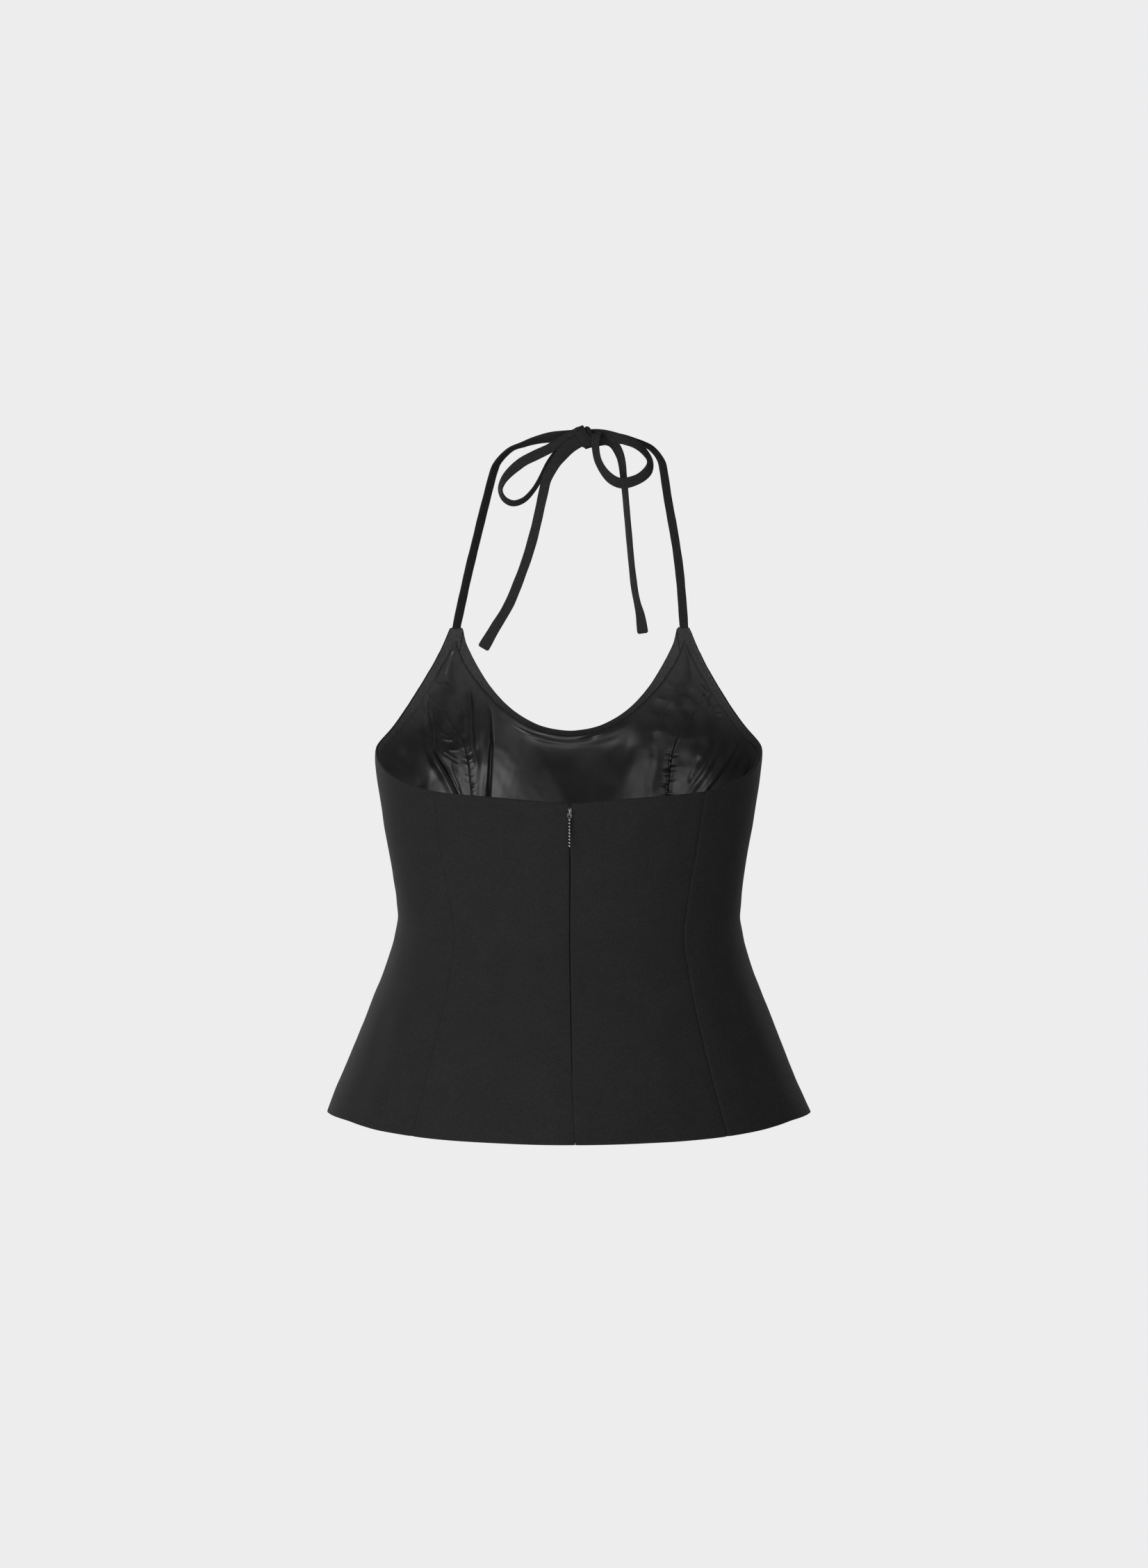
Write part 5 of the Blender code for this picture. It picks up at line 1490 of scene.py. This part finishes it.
pull = {
    "length": 28.0,
    "ringHeight": 4.6,
    "ringHalfWidth": 1.35,
    "wire": 0.36,           # half the thickness of the ring's wire, and of the core below
    "core": 0.55,
    "beads": 9,
    "beadWidth": 2.4,
    "beadDepth": 1.7,
}


def plumbLine(top, bottom):
    return zipper["pivot"] + np.array([(0, 0, top), (0, 0, bottom)]) * mm


def makePull():
    turn = np.linspace(0, 2 * math.pi, 48, endpoint=False)
    x = pull["ringHalfWidth"] * np.sign(np.cos(turn)) * np.abs(np.cos(turn)) ** 0.7
    z = -pull["ringHeight"] / 2 + pull["ringHeight"] / 2 * np.sin(turn)
    loop = zipper["pivot"] + np.stack([x, np.zeros_like(x), z], 1) * mm
    ring = tube(loop, pull["wire"] * mm, 10, closed=True)
    core = tube(plumbLine(-pull["ringHeight"] - 0.1, -pull["length"] + 0.4), pull["core"] * mm, 10)
    dress(addObject("zip_pull_ring", joinParts("zip_pull_ring", [ring, core])), "gunmetal", "zip_pull",
          body="zip_pull")
    first, last = -pull["ringHeight"] - 1.3, -pull["length"] + 1.35
    step = (first - last) / (pull["beads"] - 1)
    tree = alongTree("beadRow", finish["gunmetal"], 14, 9)
    beads = repeatAlong("zip_pull_beads", [plumbLine(first, last - 0.001)], tree, step * mm, step * 1.02 * mm,
                        pull["beadWidth"] * mm, pull["beadDepth"] * mm)
    dress(beads, "gunmetal", "zip_pull", body="zip_pull")


makeTapes()
makeCoil()
makeSlider()
makePull()
print("zip")

# Stage and light

stage = {
    "tone": 0.847,
    "worldLight": (0.065, 0.065, 0.0665, 1),
    "aim": (0, 0.06, -0.32),        # where the lights point
    "floor": -1.45,
    "radius": 6.5,
    "height": 8.0,
    "bend": 2.2,
    "turns": 72,
}


def makeStage():
    # A round floor that bends up into a wall, from its middle outwards
    turns, bend = stage["turns"], stage["bend"]
    inner, floor = stage["radius"] - bend, stage["floor"]
    profile = [(inner + bend * math.sin(angle), floor + bend * (1 - math.cos(angle)))
               for angle in np.linspace(0, math.pi / 2, 16)]
    profile.append((stage["radius"], stage["height"]))
    points = [(0, 0, stage["floor"])]
    for radius, z in profile:
        for turn in np.linspace(0, 2 * math.pi, turns, endpoint=False):
            points.append((radius * math.sin(turn), radius * math.cos(turn), z))
    faces = [[0, 1 + (step + 1) % turns, 1 + step] for step in range(turns)]
    for row in range(len(profile) - 1):
        for step in range(turns):
            a, b = 1 + row * turns + step, 1 + row * turns + (step + 1) % turns
            faces.append([a, b, b + turns, a + turns])
    sweep = addObject("stage_sweep", meshFrom("stage_sweep", points, faces))
    material, *_ = newMaterial("stagePale", 0.9, Base_Color=(0.02, 0.02, 0.02, 1), Specular_IOR_Level=0.0,
                               Emission_Color=(1, 1, 1, 1), Emission_Strength=stage["tone"])
    sweep.data.materials.append(material)
    for use in ("diffuse", "glossy", "shadow"):
        setattr(sweep, "visible_" + use, False)


lights = {
    # name: place, size, watts, what it lights
    "keyLeft": ((-1.53, -1.90, -0.08), (1.7, 1.6), 30.0, "outside"),
    "keyMiddle": ((0.3, -2.38, 0.13), (0.9, 1.6), 5.5, "outside"),
    "low": ((0.1, -2.17, -1.43), (2.6, 0.9), 22.0, "outside"),
    "sideLeft": ((-2.46, 0.49, -0.30), (0.9, 1.6), 6.0, "outside"),
    "top": ((0.0, 0.1, 2.2), (2.4, 2.0), 7.0, "outside"),
    "frontLeft": ((-1.58, 1.95, 0.13), (1.2, 1.8), 26.0, "outside"),
    "frontRight": ((1.58, 1.95, 0.13), (1.2, 1.8), 16.0, "outside"),
    "insideKeyRight": ((1.32, -1.72, 0.66), (0.7, 0.9), 9.6, "inside"),
    "insideKeyLeft": ((-1.32, -1.72, 0.66), (0.7, 0.9), 3.8, "inside"),
    "insideSideRight": ((2.15, -0.52, 0.70), (0.9, 0.9), 10.0, "inside"),
    "insideSideLeft": ((-2.15, -0.52, 0.70), (0.9, 0.9), 6.2, "inside"),
    "insideLow": ((0.0, -2.26, -0.86), (0.9, 0.9), 20.0, "inside"),
    "insideLowRight": ((0.99, -2.06, -0.88), (0.9, 0.9), 36.0, "inside"),
    "insideLowLeft": ((-0.99, -2.06, -0.88), (0.9, 0.9), 27.0, "inside"),
}


def makeLights():
    groups = {"inside": bpy.data.collections.new("inside"), "outside": bpy.data.collections.new("outside")}
    for item in bpy.context.scene.objects:
        if item.type == "MESH" and not item.name.startswith("stage"):
            inner = item.name.startswith(("lining", "facing"))
            groups["inside" if inner else "outside"].objects.link(item)
    for name, (place, size, watts, group) in lights.items():
        data = bpy.data.lights.new(name, "AREA")
        data.shape = "RECTANGLE"
        data.size, data.size_y = size
        data.energy = watts
        lamp = bpy.data.objects.new(name, data)
        bpy.context.scene.collection.objects.link(lamp)
        lamp.location = place
        aim = Vector(stage["aim"]) - Vector(place)
        lamp.rotation_mode = "QUATERNION"
        lamp.rotation_quaternion = aim.to_track_quat("-Z", "Y")
        lamp.visible_camera = False
        lamp.visible_glossy = name not in ("insideLowLeft", "insideLowRight")
        lamp.light_linking.receiver_collection = groups[group]
    world = bpy.data.worlds.new("studio")
    world.use_nodes = True
    background = world.node_tree.nodes["Background"]
    background.inputs["Color"].default_value = stage["worldLight"]
    background.inputs["Strength"].default_value = 1.0
    bpy.context.scene.world = world
    bpy.context.scene.view_settings.view_transform = "Standard"


makeStage()
makeLights()
print("stage and light")
